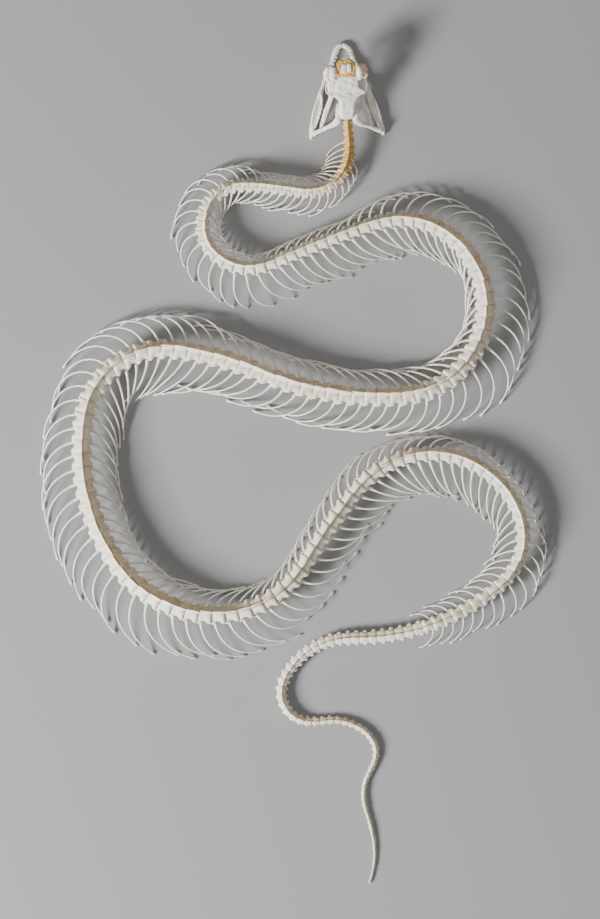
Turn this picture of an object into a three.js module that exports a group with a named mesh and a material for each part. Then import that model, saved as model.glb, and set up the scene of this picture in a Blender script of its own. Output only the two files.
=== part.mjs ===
// Skeleton of a lancehead pit viper, about 1.25 m long, laid out belly down in loose curves.
// Millimetres, +Z up, the head towards +Y, the floor at z = 0.
// The spine is a chain of even bends. Everything on it is placed by three numbers: the distance
// along the spine from the back of the skull, the distance out to the animal's left, and height.

import * as THREE from 'three';

// ---------------------------------------------------------------- driving dimensions

const SPINE_START = { x: 28.0, y: 178.3, heading: -83.3 };
const BENDS = [
  [15, -3], [38, -104], [30, 7], [50, 139], [31, 68], [59, -5], [32, -45], [121, -150],
  [77, -27], [45, 17], [64, 87], [78, 43], [53, 48], [64, 67], [47, -7], [103, -120],
  [40, -71], [85, -42], [44, 67], [34, 130], [29, -61], [18, -83], [22, 58], [14, -7], [29, -37],
]; // [length, turn in degrees, positive to the left of the way to the tail]
const BEND_EASE = 14;          // length over which one bend passes into the next
const PATH_STEP = 0.5;
const JOINT_GAP = 0.3;         // between two pieces that touch
const UP = new THREE.Vector3(0, 0, 1);

const RIBLESS_LEFT = 3;        // vertebrae behind the skull that bear no rib on this side
const RIBLESS_RIGHT = 6;
const NECK_COUNT = 12;
const TRUNK_LENGTHS = 7;
const TRUNK_COUNT = 22;        // vertebrae in each length of the trunk
const TAIL_LENGTHS = 3;
const TAIL_COUNT = 20;

// Each profile is a list of [distance along the spine, value].
const PITCH = [
  [6, 3.45], [56, 3.95], [85, 4.75], [163, 5.65], [242, 6.05], [451, 6.85], [635, 7.05],
  [766, 6.75], [897, 6.05], [975, 5.55], [1028, 4.4], [1132, 3.8], [1219, 2.55],
];
const HALF_WIDTH = [
  [0, 2.6], [36, 3.5], [111, 3.8], [216, 4.3], [294, 5.3], [661, 5.5], [766, 4.7], [897, 4.0],
  [953, 3.7], [1003, 3.9], [1044, 3.5], [1076, 3.1], [1106, 2.45], [1159, 1.6], [1192, 1.1],
  [1219, 0.65],
];
const CENTRE_HEIGHT = [
  [0, 8.5], [36, 7.6], [110, 8.6], [308, 11.0], [630, 11.5], [770, 10.5], [910, 8.5],
  [998, 4.6], [1034, 3.5], [1114, 2.3], [1219, 0.8],
];
// How far the neural spines lean, in degrees, positive to the animal's left.
const LEAN = [
  [6, 0], [46, 20], [87, 18], [111, -16], [216, -20], [294, -10], [320, 0], [373, 20], [504, 18],
  [561, 0], [661, -6], [697, -16], [739, -5], [818, -5], [844, -16], [953, -6], [1014, 0],
];
// How far the ribs reach out from the middle of the spine on each side.
const REACH_LEFT = [
  [6, 12], [16, 11.5], [30, 9.5], [50, 8.5], [66, 9], [87, 13.5], [117, 16], [157, 21],
  [208, 19], [243, 15.5], [268, 9.5], [308, 12], [360, 16], [409, 16.5], [454, 15.5],
  [480, 21.5], [550, 21], [616, 26], [711, 23], [767, 19], [844, 21.5], [898, 14.5],
  [973, 10], [1008, 6],
];
const REACH_RIGHT = [
  [6, 8], [20, 8], [46, 12.5], [68, 9.5], [111, 10.5], [142, 7.5], [200, 8.5], [213, 13], [225, 16.5],
  [243, 19], [293, 23.5], [324, 25.5], [337, 24], [349, 20.7], [379, 19.3], [449, 20.5],
  [480, 23.5], [511, 21], [550, 20], [570, 18.7], [610, 16], [687, 14.6], [713, 10],
  [792, 13], [872, 9], [898, 9.5], [933, 17.7], [973, 11.5], [1008, 8],
];
// Straight length of a rib from its head to its tip.
const RIB_CHORD = [
  [6, 13], [36, 16], [66, 18], [157, 23], [216, 29], [349, 32], [449, 37], [540, 34],
  [635, 34], [711, 32], [812, 29], [910, 22], [973, 15], [1008, 9],
];
const RIB_RADIUS = 0.62;
const RIB_FOOT_RADIUS = 0.6;
const SHORT_RIB = 17;          // chord under which a rib has one bend instead of two
const RIB_HEAD_BACK = 0.25;    // rib head behind the joint, in lengths of a vertebra
const RIB_HEAD_OUT = 0.85;     // and out from the middle, in half widths
const RIB_HEAD_DROP = 0.3;     // and below the centre, in half widths
const SWEEP_LEAST = 0.35;      // tailward sweep of a rib, in chords
const SWEEP_MOST = 0.75;
const SWEEP_LIMIT = 0.92;      // the same along the spine, inside a bend
const BEND_STRETCH = 0.55;     // share of a rib's reach at which a bend stretches its sweep
const HOOK_LEAST = 0.35;       // a tip's way out over the rib's: this and the gain on out / chord,
const HOOK_GAIN = 1.1;
const HOOK_LOW = 0.55;         // no less than this and no more than 1

// Shape of a vertebra, in half widths of the spine.
const JOINT_TOP = 0.62;        // notch between two neural spines
const SPINE_TOP = 1.3;         // top of a neural spine
const WING_HEIGHT = 0.15;      // zygapophyses, above the centre; the spine leans about them
const WAIST = 0.62;            // width between the zygapophyses
const KEEL = 0.78;             // depth of the centrum and its keel

// The head is laid out from the condyle at the back of the skull.
const CONDYLE = { x: 27.8, y: 178.9, z: 8.5 };
const SKULL_PITCH = 24;        // snout raised, the mouth open
const SKULL_ROLL = 7;          // leaning to the animal's right
const SKULL_YAW = 1.5;
const JAW_YAW = 3.05;
const JAW_OFFSET = -0.2;       // jaws' middle line to the right of the condyle

const BONE = new THREE.Color(0.86, 0.82, 0.73);
const STAINED_BONE = new THREE.Color(0.78, 0.62, 0.36);

// ---------------------------------------------------------------- the line of the spine

const radians = THREE.MathUtils.degToRad;

/** Value of a profile at a distance, between its stations in a straight line. */
function valueAt(profile, distance) {
  if (distance <= profile[0][0]) return profile[0][1];
  for (let i = 1; i < profile.length; i += 1) {
    const [to, end] = profile[i];
    const [from, start] = profile[i - 1];
    if (distance <= to) return start + (end - start) * (distance - from) / (to - from);
  }
  return profile[profile.length - 1][1];
}

/** Area under the line of the turn made so far, which gives its mean over a stretch. */
function turnArea(distance) {
  let area = 0;
  let from = 0;
  let turn = 0;
  for (const [length, bend] of BENDS) {
    const part = Math.min(Math.max(distance - from, 0), length);
    area += turn * part + bend * part * part / (2 * length);
    if (distance < from + length) return area;
    from += length;
    turn += bend;
  }
  return area + turn * (distance - from);
}

const SPINE_LENGTH = BENDS.reduce((sum, [length]) => sum + length, 0);

/** Heading on the way to the tail, in radians, eased over BEND_EASE. */
function headingAt(distance) {
  const half = BEND_EASE / 2;
  const mean = (turnArea(distance + half) - turnArea(distance - half)) / BEND_EASE;
  return radians(SPINE_START.heading + mean);
}

const path = [{ x: SPINE_START.x, y: SPINE_START.y }];
for (let d = 0; d < SPINE_LENGTH; d += PATH_STEP) {
  const heading = headingAt(d + PATH_STEP / 2);
  const last = path[path.length - 1];
  path.push({
    x: last.x + PATH_STEP * Math.cos(heading),
    y: last.y + PATH_STEP * Math.sin(heading),
  });
}

/** Point of space from the distance along the spine, out to the animal's left, and height. */
function place(along, left, height) {
  const index = THREE.MathUtils.clamp(Math.floor(along / PATH_STEP), 0, path.length - 2);
  const rest = along - index * PATH_STEP;
  const heading = headingAt(along);
  const tx = Math.cos(heading);
  const ty = Math.sin(heading);
  return new THREE.Vector3(
    path[index].x + rest * tx + left * ty,
    path[index].y + rest * ty - left * tx,
    height,
  );
}

// ---------------------------------------------------------------- closed shells

/** A closed surface of triangles, grown ring by ring. */
class Shell {
  constructor() {
    this.points = [];
    this.faces = [];
  }

  add(point) {
    this.points.push(point);
    return this.points.length - 1;
  }

  /** A flat polygon as a fan of triangles from its first corner. */
  fan(...corners) {
    for (let i = 1; i < corners.length - 1; i += 1) {
      this.faces.push([corners[0], corners[i], corners[i + 1]]);
    }
  }

  /** The band between two rings with the same number of corners. */
  band(ring, next) {
    for (let i = 0; i < ring.length; i += 1) {
      const j = (i + 1) % ring.length;
      this.fan(ring[i], ring[j], next[j], next[i]);
    }
  }

  /** The closed mesh, turned so that its faces point out. */
  mesh(name, colour) {
    let volume = 0;
    const cross = new THREE.Vector3();
    for (const [a, b, c] of this.faces) {
      cross.crossVectors(this.points[b], this.points[c]);
      volume += this.points[a].dot(cross);
    }
    const faces = volume < 0 ? this.faces.map(([a, b, c]) => [a, c, b]) : this.faces;
    const geometry = new THREE.BufferGeometry();
    geometry.setFromPoints(this.points);
    geometry.setIndex(faces.flat());
    geometry.computeVertexNormals();
    const material = new THREE.MeshStandardMaterial({ color: colour, roughness: 0.55, metalness: 0 });
    const mesh = new THREE.Mesh(geometry, material);
    mesh.name = name;
    return mesh;
  }
}

/** Ring of corners round a point, across the way that a bar runs. */
function ringAcross(shell, centre, run, up, corners) {
  const high = up.clone().addScaledVector(run, -up.dot(run)).normalize();
  const side = new THREE.Vector3().crossVectors(run, high);
  return corners.map(([across, raise]) => shell.add(
    centre.clone().addScaledVector(side, across).addScaledVector(high, raise),
  ));
}

/** A bar through stations {at, half, high}: a loft of rings with closed ends. */
function bar(shell, stations, outline) {
  const up = new THREE.Vector3(0, 0, 1);
  const rings = stations.map((station, i) => {
    const before = stations[Math.max(i - 1, 0)].at;
    const after = stations[Math.min(i + 1, stations.length - 1)].at;
    const run = after.clone().sub(before).normalize();
    const corners = outline.map(([across, raise]) => [across * station.half, raise * station.high]);
    return ringAcross(shell, station.at, run, up, corners);
  });
  shell.fan(...rings[0].slice().reverse());
  for (let i = 1; i < rings.length; i += 1) shell.band(rings[i - 1], rings[i]);
  shell.fan(...rings[rings.length - 1]);
  return rings;
}

// ---------------------------------------------------------------- vertebrae and ribs

const joints = [0];
const VERTEBRAE = NECK_COUNT + TRUNK_LENGTHS * TRUNK_COUNT + TAIL_LENGTHS * TAIL_COUNT;
for (let i = 0; i < VERTEBRAE; i += 1) {
  joints.push(joints[i] + valueAt(PITCH, joints[i]));
}

/** Point of a vertebra's section, out and up in half widths, turned by the lean of the spine. */
function sectionPoint(along, out, up, shift = 0) {
  const half = valueAt(HALF_WIDTH, along);
  const lean = radians(valueAt(LEAN, along));
  const left = out * half + shift;
  const rise = (up - WING_HEIGHT) * half;
  return place(
    along,
    left * Math.cos(lean) + rise * Math.sin(lean),
    valueAt(CENTRE_HEIGHT, along) + WING_HEIGHT * half + rise * Math.cos(lean) - left * Math.sin(lean),
  );
}

/**
 * A rib's middle line, in distance along, out and up. It leaves the spine sideways, then runs
 * down and back in one sweep to the floor. What its chord has left over after reach and drop
 * is its sweep. Outside a bend the sweep counts for less of the spine's length, inside for more.
 */
function ribCurve(along, side) {
  const half = valueAt(HALF_WIDTH, along);
  const chord = valueAt(RIB_CHORD, along);
  const head = new THREE.Vector3(
    RIB_HEAD_BACK * valueAt(PITCH, along),
    RIB_HEAD_OUT * half,
    valueAt(CENTRE_HEIGHT, along) - RIB_HEAD_DROP * half,
  );
  const reach = valueAt(side > 0 ? REACH_LEFT : REACH_RIGHT, along);
  const out = reach - head.y;
  const spare = Math.sqrt(Math.max(chord ** 2 - out ** 2 - head.z ** 2, 0));
  const turnRate = (headingAt(along + 12) - headingAt(along + 4)) / 8;
  const stretch = Math.max(1 + BEND_STRETCH * side * turnRate * reach, 0.5);
  const straight = THREE.MathUtils.clamp(spare, SWEEP_LEAST * chord, SWEEP_MOST * chord);
  const sweep = Math.min(straight / stretch, SWEEP_LIMIT * chord);
  const hook = THREE.MathUtils.clamp(HOOK_LEAST + HOOK_GAIN * out / chord, HOOK_LOW, 1);
  return new THREE.CubicBezierCurve3(
    head,
    new THREE.Vector3(head.x + 0.1 * sweep, head.y + 0.6 * out, 1.04 * head.z),
    new THREE.Vector3(head.x + 0.48 * sweep, head.y + (1.2 - 0.22 * hook) * out, 0.6 * head.z),
    new THREE.Vector3(head.x + sweep, head.y + hook * out, 0),
  );
}

/**
 * A rib on the triangle of a vertebra's side that it grows from, with a small flat foot. Its
 * three corners start out from those of the triangle and turn with the rib, without a twist.
 */
function growRib(shell, root, along, side) {
  const curve = ribCurve(along, side);
  const spot = (t) => {
    const p = curve.getPoint(t);
    return place(along + p.x, side * p.y, p.z);
  };
  const runAt = (t) => spot(t + 0.02).sub(spot(t - 0.02)).normalize();
  const bends = valueAt(RIB_CHORD, along) < SHORT_RIB ? [0.3] : [0.02, 0.5];
  const stops = bends.map((t) => ({ at: spot(t), run: runAt(t), radius: RIB_RADIUS }));
  stops.push({ at: spot(1), run: UP.clone().negate(), radius: RIB_FOOT_RADIUS });

  const [a, b, c] = root.map((index) => shell.points[index]);
  const centre = a.clone().add(b).add(c).divideScalar(3);
  const facing = b.clone().sub(a).cross(c.clone().sub(a)).dot(stops[0].run);
  const first = a.clone().sub(centre).projectOnPlane(stops[0].run).normalize();
  let arms = [0, 120, 240].map((angle) => (
    first.clone().applyAxisAngle(stops[0].run, Math.sign(facing) * radians(angle))
  ));
  let ring = root;
  let run = stops[0].run;
  for (const stop of stops) {
    const turn = new THREE.Quaternion().setFromUnitVectors(run, stop.run);
    arms = arms.map((arm) => arm.clone().applyQuaternion(turn));
    const next = arms.map((arm) => shell.add(stop.at.clone().addScaledVector(arm, stop.radius)));
    shell.band(ring, next);
    ring = next;
    run = stop.run;
  }
  shell.fan(...ring);
}

/**
 * One side of a length of the spine: half of each vertebra, with its ribs. Each vertebra has a
 * wide ring at its joint and a narrow one with the high neural spine at its middle.
 */
function spineSide(name, first, count, side, colour) {
  const shell = new Shell();
  const middle = side * JOINT_GAP / 2;
  const ribless = side > 0 ? RIBLESS_LEFT : RIBLESS_RIGHT;
  const jointRing = (along) => ({
    top: shell.add(sectionPoint(along, 0, JOINT_TOP, middle)),
    wing: shell.add(sectionPoint(along, side, WING_HEIGHT)),
    keel: shell.add(sectionPoint(along, 0, -KEEL, middle)),
  });
  let ring = jointRing(joints[first] + JOINT_GAP / 2);
  shell.fan(ring.top, ring.keel, ring.wing);
  for (let i = first; i < first + count; i += 1) {
    const last = i === first + count - 1;
    const end = joints[i + 1] - (last ? JOINT_GAP / 2 : 0);
    const waist = (joints[i] + joints[i + 1]) / 2;
    const spineTop = shell.add(sectionPoint(waist, 0, SPINE_TOP, middle));
    const flank = shell.add(sectionPoint(waist, side * WAIST, WING_HEIGHT));
    const next = jointRing(end);
    shell.fan(ring.top, ring.wing, flank, spineTop);
    shell.fan(spineTop, flank, next.wing, next.top);
    shell.fan(ring.keel, next.keel, flank);
    shell.fan(next.keel, next.wing, flank);
    shell.fan(ring.keel, ring.top, spineTop);
    shell.fan(ring.keel, spineTop, next.keel);
    shell.fan(spineTop, next.top, next.keel);
    const root = [ring.wing, ring.keel, flank];
    if (i < ribless) {
      shell.fan(...root);
    } else {
      growRib(shell, root, joints[i], side);
    }
    ring = next;
  }
  shell.fan(ring.top, ring.wing, ring.keel);
  return shell.mesh(name, colour);
}

/** A length of the tail: beads with a low spine, lying on a narrow flat keel. */
function tailLength(name, first, count) {
  const shell = new Shell();
  const keelHalf = (along) => Math.max(0.22 * valueAt(HALF_WIDTH, along), 0.25);
  const onFloor = (along, left) => shell.add(place(along, left, 0));
  const jointRing = (along) => [
    shell.add(sectionPoint(along, 0, 0.45)),
    shell.add(sectionPoint(along, 0.62, 0)),
    onFloor(along, keelHalf(along)),
    onFloor(along, -keelHalf(along)),
    shell.add(sectionPoint(along, -0.62, 0)),
  ];
  let ring = jointRing(joints[first] + JOINT_GAP / 2);
  shell.fan(...ring.slice().reverse());
  for (let i = first; i < first + count; i += 1) {
    const last = i === first + count - 1;
    const waist = (joints[i] + joints[i + 1]) / 2;
    const top = shell.add(sectionPoint(waist, 0, 0.95));
    const left = shell.add(sectionPoint(waist, 1, 0));
    const right = shell.add(sectionPoint(waist, -1, 0));
    const next = jointRing(joints[i + 1] - (last ? JOINT_GAP / 2 : 0));
    shell.fan(ring[0], ring[1], left, top);
    shell.fan(top, left, next[1], next[0]);
    shell.fan(ring[4], ring[0], top, right);
    shell.fan(right, top, next[0], next[4]);
    shell.fan(left, ring[1], ring[2], next[2], next[1]);
    shell.fan(right, next[4], next[3], ring[3], ring[4]);
    shell.fan(ring[2], ring[3], next[3], next[2]);
    ring = next;
  }
  shell.fan(...ring);
  return shell.mesh(name, BONE);
}

// ---------------------------------------------------------------- the head

/** The cranium, from the condyle forward to the snout. */
function cranium() {
  // [forward, half width, half width of the roof, roof height, floor height]
  const stations = [
    [0.4, 1.8, 1.0, 1.6, -1.6],
    [1.8, 3.8, 2.3, 3.2, -3.0],
    [6.0, 4.2, 2.9, 4.2, -3.6],
    [11.0, 4.3, 3.5, 4.5, -3.4],
    [13.9, 6.4, 5.9, 4.4, -2.8],
    [16.0, 10.3, 9.9, 3.8, -2.2],
    [17.6, 8.1, 7.6, 4.0, -1.9],
    [19.6, 5.9, 5.6, 4.1, -1.6],
    [24.0, 5.8, 5.2, 3.9, -1.4],
    [26.6, 5.0, 3.6, 3.4, -1.3],
    [30.2, 5.0, 3.2, 2.7, -1.2],
    [32.5, 3.6, 2.0, 1.8, -1.0],
    [33.5, 1.4, 0.8, 0.9, -0.5],
  ];
  const shell = new Shell();
  const rings = stations.map(([forward, half, roof, high, low]) => [
    [roof, high], [half, 0.55 * high], [0.8 * half, 0.5 * low], [0.35 * half, low],
    [-0.35 * half, low], [-0.8 * half, 0.5 * low], [-half, 0.55 * high], [-roof, high],
  ].map(([x, z]) => shell.add(new THREE.Vector3(x, forward, z))));
  shell.fan(...rings[0].slice().reverse());
  for (let i = 1; i < rings.length; i += 1) shell.band(rings[i - 1], rings[i]);
  shell.fan(...rings[rings.length - 1]);
  return shell.mesh('skull_cranium', BONE);
}

/** A maxilla and prefrontal, the block in front of the eye, with its fang folded half back. */
function maxilla(name, side) {
  // [forward, inner, outer, high, low]
  const stations = [
    [22.4, 6.3, 9.6, 2.2, -2.4],
    [25.1, 6.0, 11.4, 3.2, -4.2],
    [27.9, 5.6, 10.8, 2.6, -4.0],
    [29.8, 5.6, 8.6, 1.4, -1.6],
  ];
  const shell = new Shell();
  const at = (out, forward, height) => new THREE.Vector3(side * out, forward, height);
  const rings = stations.map(([forward, inner, outer, high, low]) => {
    const middle = (inner + outer) / 2;
    return [
      at(middle, forward, high), at(outer, forward, 0.5 * high), at(outer, forward, 0.5 * low),
      at(middle, forward, low), at(inner, forward, 0.6 * low), at(inner, forward, 0.6 * high),
    ].map((point) => shell.add(point));
  });
  const [back, rear, front, tip] = rings;
  shell.fan(...back.slice().reverse());
  shell.band(back, rear);
  shell.band(front, tip);
  shell.fan(...tip);
  const socket = 3;            // the side of the block's hexagon that the fang grows from
  for (let i = 0; i < rear.length; i += 1) {
    const j = (i + 1) % rear.length;
    if (i !== socket) shell.fan(rear[i], rear[j], front[j], front[i]);
  }
  const root = [rear[socket], rear[socket + 1], front[socket + 1], front[socket]];
  const rootCentre = at(7.9, 26.5, -4.2);
  const ringOfFang = (centre, share) => root.map((corner) => shell.add(
    shell.points[corner].clone().sub(rootCentre).multiplyScalar(share).add(centre),
  ));
  const neck = ringOfFang(at(8.0, 26.0, -5.0), 0.4);
  const curve = ringOfFang(at(8.1, 24.0, -7.8), 0.24);
  const point = shell.add(at(8.1, 21.8, -9.6));
  shell.band(root, neck);
  shell.band(neck, curve);
  for (let i = 0; i < curve.length; i += 1) shell.fan(curve[i], curve[(i + 1) % curve.length], point);
  return shell.mesh(name, BONE);
}

/**
 * Point beside the skull and the jaws, from the condyle. The share goes from 0 on the middle
 * line of the lower jaws to 1 on the skull's own, which leans.
 */
function headPoint(side, share, out, forward, height) {
  const jaw = new THREE.Vector3(side * out, forward, height);
  jaw.applyAxisAngle(UP, radians(JAW_YAW)).add(new THREE.Vector3(JAW_OFFSET, 0, 0));
  const own = new THREE.Vector3(side * out, forward, height);
  own.applyAxisAngle(UP, radians(SKULL_YAW));
  own.z -= side * out * Math.sin(radians(SKULL_ROLL));
  return jaw.lerp(own, share);
}

const DIAMOND = [[1, 0], [0, 1], [-1, 0], [0, -1]];
const JAW_OUTLINE = [[1, -0.6], [1, 0.4], [0.35, 1], [-0.5, 1], [-1, 0.2], [-0.8, -1]];
const INNER_EDGE = 3;          // corner of that outline that carries the teeth

/** A slim bone of the head through stations [share, out, forward, height, half, high]. */
function headBone(name, side, stations) {
  const shell = new Shell();
  bar(shell, stations.map(([share, out, forward, height, half, high]) => (
    { at: headPoint(side, share, out, forward, height), half, high }
  )), DIAMOND);
  return shell.mesh(name, BONE);
}

/** Supratemporal and quadrate: from the side of the skull's back out to the jaw joint. */
function quadrate(name, side) {
  return headBone(name, side, [
    [1, 5.7, 5.2, 11.6, 0.8, 1.0],
    [1, 5.1, -0.8, 10.4, 1.3, 0.9],
    [0.5, 9.4, -3.6, 8.1, 1.15, 0.9],
    [0, 17.1, -6.4, 4.4, 1.5, 0.9],
  ]);
}

/** Ectopterygoid and pterygoid: from behind the maxilla back to the inner side of the jaw. */
function palate(name, side) {
  return headBone(name, side, [
    [1, 8.2, 20.7, 15.0, 1.1, 0.6],
    [1, 7.6, 15.8, 11.8, 1.5, 0.5],
    [1, 7.7, 11.6, 9.8, 1.3, 0.6],
    [0.6, 9.8, 6.0, 7.4, 1.3, 0.8],
    [0.2, 12.2, -0.4, 5.0, 1.15, 0.8],
    [0, 13.5, -3.9, 4.6, 0.6, 0.5],
  ]);
}

/** Half of the lower jaw: slim dentary with front teeth, deep hollowed rear, hooked end. */
function mandible(name, side) {
  // [out, forward, middle height, half width, half height, tooth above the inner edge]
  const table = [
    [0.55, 38.7, 1.3, 1.4, 1.3, 0],
    [2.3, 38.2, 1.3, 1.4, 1.2, 1.2],
    [3.6, 36.4, 1.2, 1.35, 1.2, 0],
    [4.5, 34.2, 1.3, 1.3, 1.2, 1.2],
    [5.3, 31.6, 1.5, 1.25, 1.2, 0],
    [9.5, 22.4, 2.1, 1.15, 1.3, 0],
    [13.5, 12.4, 2.4, 1.3, 1.7, 0],
    [15.8, 4.0, 2.3, 2.3, 2.1, 0],
    [17.7, -2.6, 2.0, 1.6, 2.0, 0],
    [18.7, -7.9, 1.5, 1.2, 1.5, 0],
  ];
  const shell = new Shell();
  const stations = table.map(([out, forward, height, half, high]) => (
    { at: new THREE.Vector3(side * out, forward, height), half, high }
  ));
  const mirrored = JAW_OUTLINE.map(([across, raise]) => [-across, raise]).reverse();
  const rings = bar(shell, stations, side > 0 ? JAW_OUTLINE : mirrored);
  const innerEdge = side > 0 ? INNER_EDGE : JAW_OUTLINE.length - 1 - INNER_EDGE;
  table.forEach((row, i) => {
    shell.points[rings[i][innerEdge]].z += row[5];
  });
  return shell.mesh(name, BONE);
}

// ---------------------------------------------------------------- the whole skeleton

const skeleton = new THREE.Group();

const skull = new THREE.Group();
skull.position.set(CONDYLE.x, CONDYLE.y, CONDYLE.z);
skull.rotation.set(radians(SKULL_PITCH), radians(SKULL_ROLL), radians(SKULL_YAW), 'ZXY');
skull.add(cranium(), maxilla('maxilla_left', -1), maxilla('maxilla_right', 1));
skeleton.add(skull);

const jaws = new THREE.Group();
jaws.position.set(CONDYLE.x + JAW_OFFSET, CONDYLE.y, 0);
jaws.rotation.z = radians(JAW_YAW);
jaws.add(mandible('mandible_left', -1), mandible('mandible_right', 1));
skeleton.add(jaws);

const hangers = new THREE.Group();
hangers.position.set(CONDYLE.x, CONDYLE.y, 0);
hangers.add(quadrate('quadrate_left', -1), quadrate('quadrate_right', 1));
hangers.add(palate('palate_left', -1), palate('palate_right', 1));
skeleton.add(hangers);

for (const [word, side] of [['left', 1], ['right', -1]]) {
  skeleton.add(spineSide(`neck_${word}`, 0, NECK_COUNT, side, STAINED_BONE));
  for (let i = 0; i < TRUNK_LENGTHS; i += 1) {
    const name = `trunk_${String(i + 1).padStart(2, '0')}_${word}`;
    skeleton.add(spineSide(name, NECK_COUNT + i * TRUNK_COUNT, TRUNK_COUNT, side, BONE));
  }
}
const TAIL_FIRST = NECK_COUNT + TRUNK_LENGTHS * TRUNK_COUNT;
for (let i = 0; i < TAIL_LENGTHS; i += 1) {
  skeleton.add(tailLength(`tail_${i + 1}`, TAIL_FIRST + i * TAIL_COUNT, TAIL_COUNT));
}

export default skeleton;
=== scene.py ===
"""Skeleton of a lancehead pit viper, dressed for a studio table.

Lengths are in millimetres until a mesh is made. The floor is at z = 0 and the head lies towards
+Y. Everything on the spine is placed by three numbers: the distance along it from the back of
the skull, the distance out to the animal's left, and height.
"""

import logging
from collections.abc import Callable
from dataclasses import dataclass, field
from enum import Enum

import bpy
import numpy as np
from mathutils import Matrix, Vector
from mathutils.kdtree import KDTree


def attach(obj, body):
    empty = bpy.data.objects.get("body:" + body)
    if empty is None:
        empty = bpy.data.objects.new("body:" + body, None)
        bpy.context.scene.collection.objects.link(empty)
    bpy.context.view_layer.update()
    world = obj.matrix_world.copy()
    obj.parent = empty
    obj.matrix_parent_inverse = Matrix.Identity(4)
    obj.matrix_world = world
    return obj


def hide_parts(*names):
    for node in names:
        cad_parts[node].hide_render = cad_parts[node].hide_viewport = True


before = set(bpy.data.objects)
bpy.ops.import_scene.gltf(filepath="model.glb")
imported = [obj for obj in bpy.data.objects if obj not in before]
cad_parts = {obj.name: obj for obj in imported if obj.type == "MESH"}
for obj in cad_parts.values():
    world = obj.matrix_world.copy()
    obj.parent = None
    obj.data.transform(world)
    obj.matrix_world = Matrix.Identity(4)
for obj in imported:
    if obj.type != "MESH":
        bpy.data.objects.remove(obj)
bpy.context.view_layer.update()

LOG = logging.getLogger("skeleton")
MM = 0.001
BODY = "root"
LEAST_HEIGHT = 0.02        # of the bones above the floor, so that no two faces share a plane
WAVE_COUNT = 9             # sines in the field that makes surfaces uneven
PAINTED_SHADE_WAY = (0.55, 0.83, 0.1)  # plan direction away from the key light: walls facing it take painted tan shade

Array = np.ndarray
Carry = Callable[[Array], Array]


class Side(Enum):
    """One side of the animal, with its sign along the animal's left."""

    LEFT = 1
    RIGHT = -1

    @property
    def word(self) -> str:
        """Name of the side in the names of pieces and nodes."""
        return self.name.lower()


class Slot(Enum):
    """Finish that a piece takes in the record."""

    BONE = "bone"
    STAINED = "stained_bone"


# ------------------------------------------------------------------ surfaces


def eased(table: Array, count: int) -> Array:
    """Rows in between the rows of a table, on a Catmull-Rom spline through them.

    Between rows b and c, with a before and d after, the value at u is
    b + u/2 (c - a) + u^2 (a - 5b/2 + 2c - d/2) + u^3 (3b/2 - a/2 - 3c/2 + d/2).

    Args:
        table: Rows of numbers, the first axis being the one to fill in.
        count: Number of rows wanted.

    Returns:
        The filled table with count rows.
    """
    table = np.asarray(table, float)
    ends = np.concatenate([2 * table[:1] - table[1:2], table, 2 * table[-1:] - table[-2:-1]])
    spot = np.linspace(0, len(table) - 1, count)
    index = np.minimum(spot.astype(int), len(table) - 2)
    u = (spot - index).reshape((-1,) + (1,) * (table.ndim - 1))
    a, b, c, d = (ends[index + k] for k in range(4))
    return (b + u * (c - a) / 2 + u**2 * (a - 2.5 * b + 2 * c - 0.5 * d)
            + u**3 * (1.5 * b - 0.5 * a - 1.5 * c + 0.5 * d))


def rounded(corners: Array, per_side: int) -> Array:
    """A ring of corners made round by a closed Catmull-Rom spline through them.

    Args:
        corners: Array (..., corners, axes).
        per_side: Points wanted from each corner to the next.

    Returns:
        Array (..., corners * per_side, axes).
    """
    a, b, c, d = (np.roll(corners, shift, axis=-2)[..., None, :] for shift in (1, 0, -1, -2))
    u = (np.arange(per_side) / per_side)[:, None]
    ring = (b + u * (c - a) / 2 + u**2 * (a - 2.5 * b + 2 * c - 0.5 * d)
            + u**3 * (1.5 * b - 0.5 * a - 1.5 * c + 0.5 * d))
    return ring.reshape(*corners.shape[:-2], -1, corners.shape[-1])


def oval(points: int, exponent: float = 2.0) -> Array:
    """Unit superellipse: cos and sin of an angle, each raised to 2 / exponent.

    Args:
        points: Number of points round it.
        exponent: 2 is a circle, more is boxier and less is more pointed.

    Returns:
        Array (points, 2) of across and up.
    """
    angle = np.arange(points) * 2 * np.pi / points
    wave = np.stack([np.cos(angle), np.sin(angle)], axis=-1)
    return np.sign(wave) * np.abs(wave) ** (2 / exponent)


def unit(vectors: Array) -> Array:
    """Vectors scaled to length one."""
    return vectors / np.maximum(np.linalg.norm(vectors, axis=-1, keepdims=True), 1e-9)


def tube(centres: Array, half: Array, high: Array, up: Array, outline: Array) -> Array:
    """Rings across a path: centre + across * half * side + raise * high * upright.

    The side is the run of the path crossed with the upright, which is the given up made square
    to the run.

    Args:
        centres: Path points (..., stations, 3).
        half: Half width at each station.
        high: Half height at each station.
        up: Direction the height is measured along, which may differ for each station.
        outline: Outline (points, 2) of across and raise.

    Returns:
        Rings (..., stations, points, 3).
    """
    run = unit(np.gradient(centres, axis=-2))
    up = np.broadcast_to(up, centres.shape)
    upright = unit(up - run * np.sum(up * run, axis=-1, keepdims=True))
    side = np.cross(run, upright)
    across = outline[:, 0, None] * side[..., None, :] * np.asarray(half)[..., None, None]
    raised = outline[:, 1, None] * upright[..., None, :] * np.asarray(high)[..., None, None]
    return centres[..., None, :] + across + raised


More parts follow.
